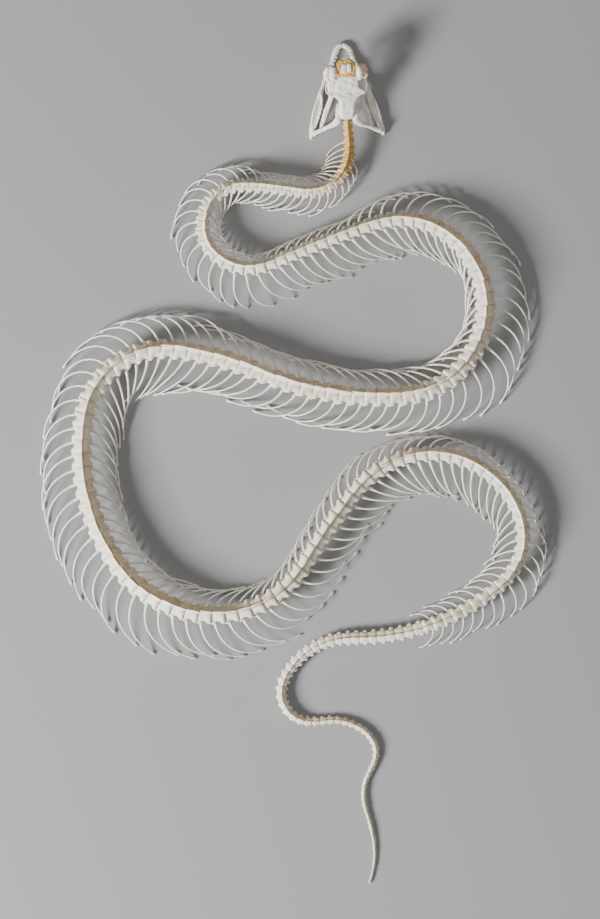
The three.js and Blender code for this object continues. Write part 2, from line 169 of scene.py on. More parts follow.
def waves(points: Array, size: float, seed: int = 5) -> Array:
    """Smooth uneven field: the sum of sin(pi p . k / size + phase) over random directions k.

    Args:
        points: Points (n, 3) in millimetres.
        size: Width of its bumps in millimetres.
        seed: Seed of the directions and phases.

    Returns:
        Values (n,), mostly between -1 and 1.
    """
    draw = np.random.default_rng(seed)
    ways = unit(draw.normal(size=(WAVE_COUNT, 3))) * draw.uniform(0.6, 1.7, (WAVE_COUNT, 1))
    phases = draw.uniform(0, 2 * np.pi, WAVE_COUNT)
    return np.sin(points @ ways.T * np.pi / size + phases).sum(axis=-1) / np.sqrt(WAVE_COUNT)


class Piece:
    """Closed lofts gathered into one object of the scene."""

    def __init__(self, name: str) -> None:
        """Start an empty piece.

        Args:
            name: Its name in the scene.
        """
        self.name = name
        self.points: list[Array] = []
        self.stains: list[Array] = []
        self.faces: list[tuple[int, ...]] = []
        self.count = 0

    def loft(self, rings: Array, stain: Array | float = 0.0, tan: float = 0.2) -> None:
        """Add closed lofts: rings joined by quads, with a flat face on each end.

        Each loft whose volume comes out negative has its faces turned over.

        Args:
            rings: Array (stations, points, 3) or (lofts, stations, points, 3).
            stain: Depth of the amber colour, a number or one for each point.
            tan: How much painted tan shade its walls take where they face away from
                the key light.
        """
        rings = rings if rings.ndim == 4 else rings[None]
        lofts, stations, points, _ = rings.shape
        index = self.count + np.arange(lofts * stations * points).reshape(lofts, stations, points)
        after = np.roll(index, -1, axis=2)
        quads = np.stack([index[:, :-1], after[:, :-1], after[:, 1:], index[:, 1:]], axis=-1)
        flat = rings.reshape(-1, 3)
        corner = flat[quads - self.count] - rings.mean(axis=(1, 2))[:, None, None, None]
        volume = np.sum(corner[..., 0, :] * np.cross(corner[..., 1, :], corner[..., 2, :]), axis=-1)
        volume += np.sum(corner[..., 0, :] * np.cross(corner[..., 2, :], corner[..., 3, :]), axis=-1)
        inside_out = volume.sum(axis=(1, 2)) < 0
        first, last = index[:, 0, ::-1].copy(), index[:, -1].copy()
        quads[inside_out] = quads[inside_out][..., ::-1]
        first[inside_out] = first[inside_out][:, ::-1]
        last[inside_out] = last[inside_out][:, ::-1]
        self.faces += quads.reshape(-1, 4).tolist() + first.tolist() + last.tolist()
        self.points.append(flat)
        depth = np.broadcast_to(stain, rings.shape[:-1]).reshape(-1)
        self.stains.append(np.stack([depth, np.full(len(flat), tan)], axis=-1))
        self.count += len(flat)

    def fused(self, voxel: float, rounds: int = 3) -> tuple[bpy.types.Mesh, Array]:
        """Melt the lofts into one smooth skin on a grid of voxels.

        Args:
            voxel: Size of a voxel in millimetres.
            rounds: Rounds of smoothing after it.

        Returns:
            The mesh, and the two values of each of its points, the stain depth and the share
            of painted shade, taken from the nearest point of the lofts.
        """
        points = np.concatenate(self.points)
        rough = bpy.data.meshes.new("lofts")
        rough.from_pydata((points * MM).tolist(), [], self.faces)
        holder = bpy.data.objects.new("lofts", rough)
        bpy.context.scene.collection.objects.link(holder)
        remesh = holder.modifiers.new("Fuse", "REMESH")
        remesh.mode = "VOXEL"
        remesh.voxel_size = voxel * MM
        soften = holder.modifiers.new("Soften", "SMOOTH")
        soften.factor = 0.5
        soften.iterations = rounds
        graph = bpy.context.evaluated_depsgraph_get()
        mesh = bpy.data.meshes.new_from_object(holder.evaluated_get(graph), depsgraph=graph)
        bpy.data.objects.remove(holder)
        bpy.data.meshes.remove(rough)
        tree = KDTree(len(points))
        for index, point in enumerate(points):
            tree.insert(point, index)
        tree.balance()
        nearest = [tree.find(vertex.co / MM)[1] for vertex in mesh.vertices]
        return mesh, np.concatenate(self.stains)[nearest]

    def build(self, finish: "Finish", slot: Slot, nodes: tuple[str, ...] = (), *,
              voxel: float = 0.0) -> bpy.types.Object:
        """Make the object, roughen its surface, dress it and fix it to the skeleton.

        A point moves along its normal by the finish's knob times the uneven field. Its amber
        depth is the loft's own stain, plus painted tan shade: the loft's share of it times how
        far its normal faces away from the key light.

        Args:
            finish: Finish of its surface.
            slot: Slot of the record that it belongs to; not used.
            nodes: Solids that it stands for.
            voxel: Size of the voxels that melt its lofts together, or 0 to leave them apart.

        Returns:
            The new object, at the origin, with its place in its mesh.
        """
        if voxel:
            mesh, stains = self.fused(voxel)
        else:
            mesh, stains = bpy.data.meshes.new(self.name), np.concatenate(self.stains)
            mesh.from_pydata((np.concatenate(self.points) * MM).tolist(), [], self.faces)
        mesh.update()
        points = np.empty(len(mesh.vertices) * 3)
        normals = np.empty(len(mesh.vertices) * 3)
        mesh.vertices.foreach_get("co", points)
        mesh.vertices.foreach_get("normal", normals)
        points = points.reshape(-1, 3) / MM
        normals = normals.reshape(-1, 3)
        points += normals * (finish.knob * waves(points, finish.knob_size))[:, None]
        points[:, 2] = np.maximum(points[:, 2], LEAST_HEIGHT)
        mesh.vertices.foreach_set("co", (points * MM).ravel())
        mesh.polygons.foreach_set("use_smooth", np.ones(len(mesh.polygons), bool))
        # Painted shade: walls turned away from the key light take the tan amber colour.
        shade_facing = np.clip(normals @ np.array(PAINTED_SHADE_WAY), 0, 1)
        stain = mesh.attributes.new("stain", "FLOAT", "POINT")
        stain.data.foreach_set("value", (stains[:, 0] + stains[:, 1] * shade_facing).astype(np.float32))
        mesh.materials.clear()
        mesh.materials.append(finish.material())
        mesh.update()
        mesh.name = self.name
        piece = bpy.data.objects.new(self.name, mesh)
        bpy.context.scene.collection.objects.link(piece)
        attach(piece, BODY)
        if nodes:
            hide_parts(*nodes)
        LOG.info("%s: %d faces", self.name, len(mesh.polygons))
        return piece


# ------------------------------------------------------------------ finishes


class NodeGraph:
    """Short way to place and join the nodes of a shader or of a node group."""

    def __init__(self, tree: bpy.types.NodeTree) -> None:
        """Keep the tree that the nodes go into."""
        self.tree = tree

    def node(self, kind: str, **settings: object) -> bpy.types.Node:
        """Add a node and set its own properties.

        Args:
            kind: Blender's name of the node type.
            **settings: Properties of the node and their values.

        Returns:
            The node.
        """
        node = self.tree.nodes.new(kind)
        for name, value in settings.items():
            setattr(node, name, value)
        return node

    def join(self, output: bpy.types.NodeSocket, target: bpy.types.NodeSocket) -> None:
        """Link an output to an input."""
        self.tree.links.new(output, target)

    def value(self, kind: str, first: object, second: object) -> bpy.types.NodeSocket:
        """Join two sockets or numbers in a Math node.

        Args:
            kind: Its operation.
            first: First socket or number.
            second: Second socket or number.

        Returns:
            The node's result.
        """
        node = self.node("ShaderNodeMath", operation=kind)
        for source, target in zip((first, second), node.inputs):
            if isinstance(source, bpy.types.NodeSocket):
                self.join(source, target)
            else:
                target.default_value = source
        return node.outputs[0]

    def range(self, source: bpy.types.NodeSocket,
              span: tuple[float, float, float, float]) -> bpy.types.NodeSocket:
        """Carry a value from one range to another, held within it.

        Args:
            source: The value.
            span: Ends of the first range, then ends of the second.

        Returns:
            The carried value.
        """
        node = self.node("ShaderNodeMapRange")
        self.join(source, node.inputs["Value"])
        for name, number in zip(("From Min", "From Max", "To Min", "To Max"), span):
            node.inputs[name].default_value = number
        return node.outputs["Result"]

    def blend(self, share: bpy.types.NodeSocket, first: object,
              second: object) -> bpy.types.NodeSocket:
        """Mix two colours, each given as numbers or as a socket.

        Args:
            share: Share of the second one.
            first: Colour at share 0.
            second: Colour at share 1.

        Returns:
            The mixed colour.
        """
        node = self.node("ShaderNodeMix", data_type="RGBA")
        self.join(share, node.inputs[0])
        for source, target in ((first, node.inputs[6]), (second, node.inputs[7])):
            if isinstance(source, bpy.types.NodeSocket):
                self.join(source, target)
            else:
                target.default_value = (*source, 1)
        return node.outputs[2]


def grain_group() -> bpy.types.NodeTree:
    """Node group of dry bone: cloudy mottle, fine pores and a height for the bump.

    Returns:
        The group, made at the first call and shared after that.
    """
    name = "Bone grain"
    if name in bpy.data.node_groups:
        return bpy.data.node_groups[name]
    group = bpy.data.node_groups.new(name, "ShaderNodeTree")
    for title, default in (("Cloud size", 4.0), ("Pore size", 0.35), ("Pore depth", 0.5)):
        socket = group.interface.new_socket(title, in_out="INPUT", socket_type="NodeSocketFloat")
        socket.default_value = default
    for title in ("Mottle", "Pores", "Height"):
        group.interface.new_socket(title, in_out="OUTPUT", socket_type="NodeSocketFloat")
    graph = NodeGraph(group)
    entry = graph.node("NodeGroupInput")
    leave = graph.node("NodeGroupOutput")
    place = graph.node("ShaderNodeTexCoord")
    metre = 1 / MM

    def noise(size: bpy.types.NodeSocket, detail: float) -> bpy.types.NodeSocket:
        """Noise texture on the object's own coordinates.

        Args:
            size: Size of its features in millimetres.
            detail: Number of finer layers in it.

        Returns:
            Its value, from 0 to 1.
        """
        node = graph.node("ShaderNodeTexNoise")
        graph.join(place.outputs["Object"], node.inputs["Vector"])
        graph.join(graph.value("DIVIDE", metre, size), node.inputs["Scale"])
        node.inputs["Detail"].default_value = detail
        return node.outputs["Fac"]

    cloud = noise(entry.outputs["Cloud size"], 5)
    pits = graph.range(noise(entry.outputs["Pore size"], 3), (0.52, 0.68, 0, 1))
    pores = graph.value("MULTIPLY", pits, entry.outputs["Pore depth"])
    fine = graph.value("MULTIPLY", cloud, 0.4)
    graph.join(graph.range(cloud, (0.32, 0.68, 0, 1)), leave.inputs["Mottle"])
    graph.join(pores, leave.inputs["Pores"])
    graph.join(graph.value("SUBTRACT", fine, pores), leave.inputs["Height"])
    return group


@dataclass(frozen=True)
class Finish:
    """Dry bone or tooth, with its stain.

    Attributes:
        name: Name of the material.
        light: Colour of clean bone.
        shade: Colour in the clouds of its mottle.
        stain: Colour where old grease has soaked in, and of the painted tan shade on
            walls turned from the key light.
        deep_stain: Colour at the darkest of the stain and of the painted shade.
        roughness: Least roughness of the surface.
        cloud: Size of the mottle in millimetres.
        pore: Size of the pores in millimetres.
        pore_depth: How far the pores show, from 0 to 1.
        bump: Height of the relief in millimetres.
        glow: Share of light that passes under the surface.
        knob: Height of the uneven field that the surface is moved by, in millimetres.
        knob_size: Width of its bumps in millimetres.
    """

    name: str
    light: tuple[float, float, float] = (0.86, 0.83, 0.75)
    shade: tuple[float, float, float] = (0.76, 0.71, 0.60)
    stain: tuple[float, float, float] = (0.76, 0.50, 0.16)
    deep_stain: tuple[float, float, float] = (0.48, 0.26, 0.07)
    roughness: float = 0.48
    cloud: float = 5.0
    pore: float = 0.45
    pore_depth: float = 0.5
    bump: float = 0.12
    glow: float = 0.12
    knob: float = 0.05
    knob_size: float = 1.7

    def material(self) -> bpy.types.Material:
        """Dry bone from light to shade by the mottle, over it the amber of stain and painted shade by its
        depth.

        The depth is the point attribute of stain and painted shade, made a quarter more or less
        by the mottle. Dust of the deep amber lies in the pores.

        Returns:
            The material, made at the first call and shared after that.
        """
        if self.name in bpy.data.materials:
            return bpy.data.materials[self.name]
        material = bpy.data.materials.new(self.name)
        material.use_nodes = True
        graph = NodeGraph(material.node_tree)
        shader = material.node_tree.nodes["Principled BSDF"]
        grain = graph.node("ShaderNodeGroup", node_tree=grain_group())
        grain.inputs["Cloud size"].default_value = self.cloud
        grain.inputs["Pore size"].default_value = self.pore
        grain.inputs["Pore depth"].default_value = self.pore_depth
        mottle = grain.outputs["Mottle"]
        bone = graph.blend(mottle, self.light, self.shade)
        amber = graph.blend(mottle, self.stain, self.deep_stain)
        amber_depth = graph.node("ShaderNodeAttribute", attribute_name="stain").outputs["Fac"]
        patchy = graph.value("MULTIPLY", graph.range(mottle, (0, 1, -0.25, 0.25)), amber_depth)
        depth = graph.range(graph.value("ADD", amber_depth, patchy), (0, 1, 0, 1))
        colour = graph.blend(depth, bone, amber)
        dust = graph.range(grain.outputs["Pores"], (0, 1, 0, 0.45))
        graph.join(graph.blend(dust, colour, self.deep_stain), shader.inputs["Base Color"])
        rough = graph.range(mottle, (0, 1, self.roughness, self.roughness + 0.2))
        graph.join(rough, shader.inputs["Roughness"])
        bump = graph.node("ShaderNodeBump")
        bump.inputs["Strength"].default_value = 0.6
        bump.inputs["Distance"].default_value = self.bump * MM
        graph.join(grain.outputs["Height"], bump.inputs["Height"])
        graph.join(bump.outputs["Normal"], shader.inputs["Normal"])
        shader.inputs["Subsurface Weight"].default_value = self.glow
        shader.inputs["Subsurface Radius"].default_value = (0.9, 0.6, 0.35)
        shader.inputs["Subsurface Scale"].default_value = MM
        return material


DRY_BONE = Finish("Dry ivory bone", knob=0.07)
RIB_BONE = Finish("Rib bone", light=(0.88, 0.86, 0.80), shade=(0.78, 0.74, 0.66), pore_depth=0.3,
                  cloud=7.0, knob=0.03, knob_size=2.4)
SKULL_BONE = Finish("Skull bone", light=(0.89, 0.87, 0.82), shade=(0.78, 0.75, 0.67), pore=0.3,
                    pore_depth=0.3, cloud=3.5, knob=0.10, knob_size=1.9)
KNOBBLY_BONE = Finish("Knobbly bone", light=(0.89, 0.87, 0.82), shade=(0.78, 0.75, 0.67), pore=0.3,
                      pore_depth=0.3, cloud=2.5, knob=0.15, knob_size=1.6)
GREASED = Finish("Greased cartilage", light=(0.88, 0.52, 0.08), shade=(0.60, 0.28, 0.03),
                 roughness=0.30, pore_depth=0.4, glow=0.25, knob=0.14, knob_size=1.3)
TOOTH = Finish("Tooth", light=(0.90, 0.87, 0.78), shade=(0.84, 0.78, 0.65), roughness=0.2,
               pore_depth=0.0, bump=0.02, glow=0.2, knob=0.0)


# ------------------------------------------------------------------ the line of the spine


@dataclass(frozen=True)
class Profile:
    """A value along the spine, in straight lines between stations of distance and value."""

    stations: tuple[tuple[float, float], ...]

    def at(self, along: Array) -> Array:
        """Value at each distance."""
        return np.interp(along, *np.array(self.stations).T)


PITCH = Profile((
    (6, 3.45), (56, 3.95), (85, 4.75), (163, 5.65), (242, 6.05), (451, 6.85), (635, 7.05),
    (766, 6.75), (897, 6.05), (975, 5.55), (1028, 4.4), (1132, 3.8), (1219, 2.55),
))
HALF_WIDTH = Profile((
    (0, 2.6), (36, 3.5), (111, 3.8), (216, 4.3), (294, 5.3), (661, 5.5), (766, 4.7), (897, 4.0),
    (953, 3.7), (1003, 3.9), (1044, 3.5), (1076, 3.1), (1106, 2.45), (1159, 1.6), (1192, 1.1),
    (1219, 0.65),
))
CENTRE_HEIGHT = Profile((
    (0, 8.5), (36, 7.6), (110, 8.6), (308, 11.0), (630, 11.5), (770, 10.5), (910, 8.5),
    (998, 4.6), (1034, 3.5), (1114, 2.3), (1219, 0.8),
))
LEAN = Profile((
    (6, 0), (46, 20), (87, 18), (111, -16), (216, -20), (294, -10), (320, 0), (373, 20), (504, 18),
    (561, 0), (661, -6), (697, -16), (739, -5), (818, -5), (844, -16), (953, -6), (1014, 0),
))
REACH = {
    Side.LEFT: Profile((
        (6, 12), (16, 11.5), (30, 9.5), (50, 8.5), (66, 9), (87, 13.5), (117, 16), (157, 21),
        (208, 19), (243, 15.5), (268, 9.5), (308, 12), (360, 16), (409, 16.5), (454, 15.5),
        (480, 21.5), (550, 21), (616, 26), (711, 23), (767, 19), (844, 21.5), (898, 14.5),
        (973, 10), (1008, 6),
    )),
    Side.RIGHT: Profile((
        (6, 8), (20, 8), (46, 12.5), (68, 9.5), (111, 10.5), (142, 7.5), (200, 8.5), (213, 13),
        (225, 16.5), (243, 19), (293, 23.5), (324, 25.5), (337, 24), (349, 20.7), (379, 19.3),
        (449, 20.5), (480, 23.5), (511, 21), (550, 20), (570, 18.7), (610, 16), (687, 14.6),
        (713, 10), (792, 13), (872, 9), (898, 9.5), (933, 17.7), (973, 11.5), (1008, 8),
    )),
}
RIB_CHORD = Profile((
    (6, 13), (36, 16), (66, 18), (157, 23), (216, 29), (349, 32), (449, 37), (540, 34),
    (635, 34), (711, 32), (812, 29), (910, 22), (973, 15), (1008, 9),
))
GREASE_STAIN = Profile((
    (0, 1.0), (18, 0.9), (30, 0.45), (42, 0.1), (60, 0.0), (1084, 0.0), (1110, 0.25), (1150, 0.1),
))

WING_HEIGHT = 0.15         # zygapophyses above the centre in half widths; the spine leans about them
NECK_COUNT = 12
TRUNK_LENGTHS = 7
TRUNK_COUNT = 22
TAIL_LENGTHS = 3
TAIL_COUNT = 20
RIBLESS = {Side.LEFT: 3, Side.RIGHT: 6}  # vertebrae behind the skull that bear no rib
TAIL_FIRST = NECK_COUNT + TRUNK_LENGTHS * TRUNK_COUNT


@dataclass
class SpineLine:
    """Plan of the spine: a chain of even bends, each eased into the next.

    Attributes:
        start: Front end.
        heading: First heading on the way to the tail, in degrees.
        bends: Length and turn in degrees of each bend, positive to the left.
        ease: Length over which one bend passes into the next.
        step: Step of the sum that turns headings into places.
    """

    start: tuple[float, float] = (28.0, 178.3)
    heading: float = -83.3
    bends: tuple[tuple[float, float], ...] = (
        (15, -3), (38, -104), (30, 7), (50, 139), (31, 68), (59, -5), (32, -45), (121, -150),
        (77, -27), (45, 17), (64, 87), (78, 43), (53, 48), (64, 67), (47, -7), (103, -120),
        (40, -71), (85, -42), (44, 67), (34, 130), (29, -61), (18, -83), (22, 58), (14, -7), (29, -37),
    )
    ease: float = 14.0
    step: float = 0.5

    def __post_init__(self) -> None:
        """Sum the headings into a path and lay out the joints between the vertebrae."""
        length, turn = np.array(self.bends, float).T
        self.knots = np.concatenate([[0], np.cumsum(length)])
        self.turns = np.concatenate([[0], np.cumsum(turn)])
        self.slopes = np.concatenate([turn / length, [0]])
        mean_turns = (self.turns[1:] + self.turns[:-1]) / 2
        self.areas = np.concatenate([[0], np.cumsum(mean_turns * length)])
        centres = np.arange(0, self.knots[-1], self.step) + self.step / 2
        heading = self.heading_at(centres)
        steps = self.step * np.stack([np.cos(heading), np.sin(heading)], axis=-1)
        self.path = np.array(self.start) + np.concatenate([[[0, 0]], np.cumsum(steps, axis=0)])
        joints = [0.0]
        for _ in range(TAIL_FIRST + TAIL_LENGTHS * TAIL_COUNT):
            joints.append(joints[-1] + float(PITCH.at(joints[-1])))
        self.joints = np.array(joints)

    def turn_area(self, along: Array) -> Array:
        """Area under the line of the turn made so far.

        Within a bend it grows as turn * d + slope * d^2 / 2.

        Args:
            along: Distances along the spine.

        Returns:
            The areas, in degrees times millimetres.
        """
        index = np.clip(np.searchsorted(self.knots, along, "right") - 1, 0, len(self.knots) - 1)
        rest = np.maximum(along - self.knots[index], 0)
        return self.areas[index] + self.turns[index] * rest + self.slopes[index] * rest**2 / 2

    def heading_at(self, along: Array) -> Array:
        """Heading on the way to the tail, the mean of the turn over the easing length.

        Args:
            along: Distances along the spine.

        Returns:
            The headings in radians.
        """
        half = self.ease / 2
        mean = (self.turn_area(along + half) - self.turn_area(along - half)) / self.ease
        return np.radians(self.heading + mean)

    def frames(self, along: Array) -> tuple[Array, Array, Array]:
        """Place on the line, and the directions to the tail and to the animal's left.

        Args:
            along: Distances along the spine.

        Returns:
            Three arrays of plan vectors, (..., 2).
        """
        index = np.clip((along / self.step).astype(int), 0, len(self.path) - 2)
        heading = self.heading_at(along)
        tailward = np.stack([np.cos(heading), np.sin(heading)], axis=-1)
        left = np.stack([np.sin(heading), -np.cos(heading)], axis=-1)
        rest = (along - index * self.step)[..., None]
        return self.path[index] + rest * tailward, tailward, left

    def place(self, along: Array, left: Array, height: Array) -> Array:
        """Carry points from the spine's own measures into space.

        Args:
            along: Distances along the spine.
            left: Distances out to the animal's left.
            height: Heights above the floor.

        Returns:
            The points in space, (..., 3).
        """
        spot, _, sideways = self.frames(along)
        plan = spot + left[..., None] * sideways
        return np.concatenate([plan, np.broadcast_to(height, along.shape)[..., None]], axis=-1)


# ------------------------------------------------------------------ vertebrae


@dataclass(frozen=True)
class Process:
    """A part of a vertebra, as a loft through stations.

    A station is (along, out, up, half width, half height): along in lengths of the vertebra,
    the rest in half widths of the spine.

    Attributes:
        stations: The stations.
        points: Points round a ring.
        exponent: Squareness of the rings.
        paired: Whether it stands on both sides.
        upright: Direction that the height is measured along.
        section: Outline of across and raise that takes the place of the superellipse.
        tan: How much painted tan shade its walls take where they face away from the key
        light.
    """

    stations: tuple[tuple[float, float, float, float, float], ...]
    points: int = 8
    exponent: float = 2.0
    paired: bool = False
    upright: tuple[float, float, float] = (0.0, 0.0, 1.0)
    section: tuple[tuple[float, float], ...] = ()
    tan: float = 0.25

    def rings(self, stretch: float) -> Array:
        """Rings of the right-hand or only loft.

        Args:
            stretch: Length of the vertebra over half the width of the spine.

        Returns:
            Array (stations, points, 3) in half widths.
        """
        table = np.array(self.stations)
        centres = table[:, :3] * [stretch, 1, 1]
        outline = np.array(self.section) if self.section else oval(self.points, self.exponent)
        return tube(centres, table[:, 3], table[:, 4], np.array(self.upright), outline)


BLADE = ((1, -1), (0.60, -0.45), (0.33, 0.15), (0.20, 0.75), (0.11, 1.0),
         (-0.11, 1.0), (-0.20, 0.75), (-0.33, 0.15), (-0.60, -0.45), (-1, -1))

# Each part's share of painted shade tans its walls where they face away from the key light.
TRUNK_PROCESSES = {
    "centrum": Process((
        (0.00, 0, -0.22, 0.36, 0.28), (0.10, 0, -0.23, 0.42, 0.31), (0.35, 0, -0.25, 0.38, 0.27),
        (0.65, 0, -0.25, 0.31, 0.24), (0.90, 0, -0.21, 0.27, 0.23), (1.04, 0, -0.18, 0.22, 0.18),
        (1.12, 0, -0.16, 0.10, 0.09),
    ), points=10),
    "arch": Process((
        (0.01, 0, 0.16, 0.80, 0.22), (0.08, 0, 0.18, 0.91, 0.34), (0.18, 0, 0.20, 0.87, 0.42),
        (0.32, 0, 0.22, 0.77, 0.47), (0.50, 0, 0.23, 0.74, 0.49), (0.66, 0, 0.26, 0.80, 0.49),
        (0.80, 0, 0.28, 0.92, 0.46), (0.91, 0, 0.28, 1.00, 0.42), (0.98, 0, 0.28, 0.96, 0.35),
        (1.03, 0, 0.28, 0.76, 0.25), (1.05, 0, 0.28, 0.40, 0.13),
    ), points=14, exponent=1.5, tan=0.8),
    "neural spine": Process((
        (0.07, 0, 0.62, 0.16, 0.20), (0.11, 0, 0.78, 0.28, 0.36), (0.28, 0, 0.85, 0.34, 0.42),
        (0.66, 0, 0.86, 0.37, 0.43), (0.94, 0, 0.85, 0.34, 0.41), (1.02, 0, 0.76, 0.24, 0.32),
        (1.05, 0, 0.66, 0.12, 0.18),
    ), section=BLADE, tan=1.0),
    "front wing": Process((
        (0.30, 0.40, 0.08, 0.22, 0.18), (0.19, 0.62, 0.06, 0.22, 0.15), (0.09, 0.80, 0.05, 0.20, 0.13),
        (0.03, 0.93, 0.05, 0.15, 0.10), (0.01, 0.99, 0.05, 0.08, 0.05),
    ), points=8, exponent=2.2, paired=True),
    "rear wing": Process((
        (0.70, 0.42, 0.30, 0.28, 0.20), (0.82, 0.64, 0.30, 0.29, 0.18), (0.90, 0.82, 0.28, 0.25, 0.15),
        (0.94, 0.94, 0.26, 0.17, 0.10), (0.95, 1.00, 0.25, 0.07, 0.04),
    ), points=8, exponent=2.2, paired=True),
    "rib facet": Process((
        (0.16, 0.38, -0.18, 0.14, 0.18), (0.16, 0.52, -0.22, 0.20, 0.25), (0.15, 0.64, -0.25, 0.20, 0.25),
        (0.14, 0.73, -0.27, 0.14, 0.17), (0.14, 0.77, -0.27, 0.05, 0.06),
    ), paired=True),
    "keel": Process((
        (0.66, 0, -0.36, 0.28, 0.06), (0.76, 0, -0.52, 0.22, 0.055), (0.88, 0, -0.68, 0.14, 0.05),
        (0.97, 0, -0.80, 0.07, 0.04), (1.00, 0, -0.86, 0.03, 0.02),
    ), upright=(0.0, 1.0, 0.0)),
}

# Each part's share of painted shade tans its walls where they face away from the key light.
TAIL_PROCESSES = {
    "centrum": Process((
        (0.00, 0, -0.15, 0.50, 0.38), (0.12, 0, -0.16, 0.60, 0.44), (0.45, 0, -0.18, 0.52, 0.38),
        (0.85, 0, -0.16, 0.54, 0.38), (1.04, 0, -0.14, 0.34, 0.24), (1.10, 0, -0.13, 0.12, 0.09),
    ), points=10),
    "arch": Process((
        (-0.04, 0, 0.06, 0.62, 0.32), (0.05, 0, 0.06, 0.77, 0.42), (0.22, 0, 0.06, 0.86, 0.47),
        (0.45, 0, 0.07, 0.84, 0.47), (0.75, 0, 0.09, 0.79, 0.46), (0.96, 0, 0.10, 0.77, 0.44),
        (1.05, 0, 0.10, 0.66, 0.36), (1.09, 0, 0.10, 0.42, 0.20),
    ), points=12, exponent=1.9, tan=0.7),
    "neural spine": Process((
        (0.12, 0, 0.46, 0.14, 0.14), (0.22, 0, 0.58, 0.26, 0.28), (0.60, 0, 0.63, 0.28, 0.31),
        (0.92, 0, 0.61, 0.25, 0.27), (1.02, 0, 0.50, 0.12, 0.14),
    ), section=BLADE, tan=0.5),
    "side process": Process((
        (0.50, 0.42, 0.04, 0.42, 0.24), (0.44, 0.66, 0.02, 0.40, 0.21), (0.38, 0.86, 0.00, 0.30, 0.17),
        (0.34, 1.00, -0.02, 0.18, 0.12), (0.32, 1.08, -0.02, 0.07, 0.05),
    ), paired=True, tan=0.2),
    "lower process": Process((
        (0.72, 0.16, -0.34, 0.15, 0.08), (0.80, 0.18, -0.58, 0.12, 0.07), (0.86, 0.19, -0.82, 0.10, 0.06),
        (0.90, 0.19, -1.00, 0.06, 0.05),
    ), paired=True, upright=(0.0, 1.0, 0.0)),
}


# Share along a rib and its radius there in millimetres: a broad head, a slim blade, a knobbed tip.
RIB_GIRTH = (
    (0.0, 0.78), (0.03, 0.92), (0.07, 0.84), (0.12, 0.62), (0.20, 0.53), (0.30, 0.50), (0.42, 0.48),
    (0.54, 0.46), (0.66, 0.43), (0.77, 0.39), (0.86, 0.35), (0.915, 0.36), (0.945, 0.56), (0.97, 0.66),
    (0.99, 0.55), (1.0, 0.28),
)
RIB_TIP_HEIGHT = 0.42
RIB_STAIN_SHARE = 0.4      # of the spine's stain that its ribs take
RIB_HEAD_BACK = 0.25       # rib head behind the joint, in lengths of a vertebra
RIB_HEAD_OUT = 0.74        # and out from the middle, in half widths
RIB_HEAD_DROP = 0.28       # and below the centre, in half widths
SWEEP_LEAST = 0.35         # tailward sweep of a rib, in chords
SWEEP_MOST = 0.75
SWEEP_LIMIT = 0.92         # the same along the spine, inside a bend
BEND_STRETCH = 0.55        # share of a rib's reach at which a bend stretches its sweep
HOOK_LEAST = 0.35          # a tip's way out over the rib's: this and the gain on out / chord,
HOOK_GAIN = 1.1
HOOK_LOW = 0.55            # no less than this and no more than 1
RIB_SPREADS = (0.03, 0.04, 0.06)  # of chord, of reach and of hook, between one rib and the next
FULL_CHORD = 30.0          # of a rib with the whole girth


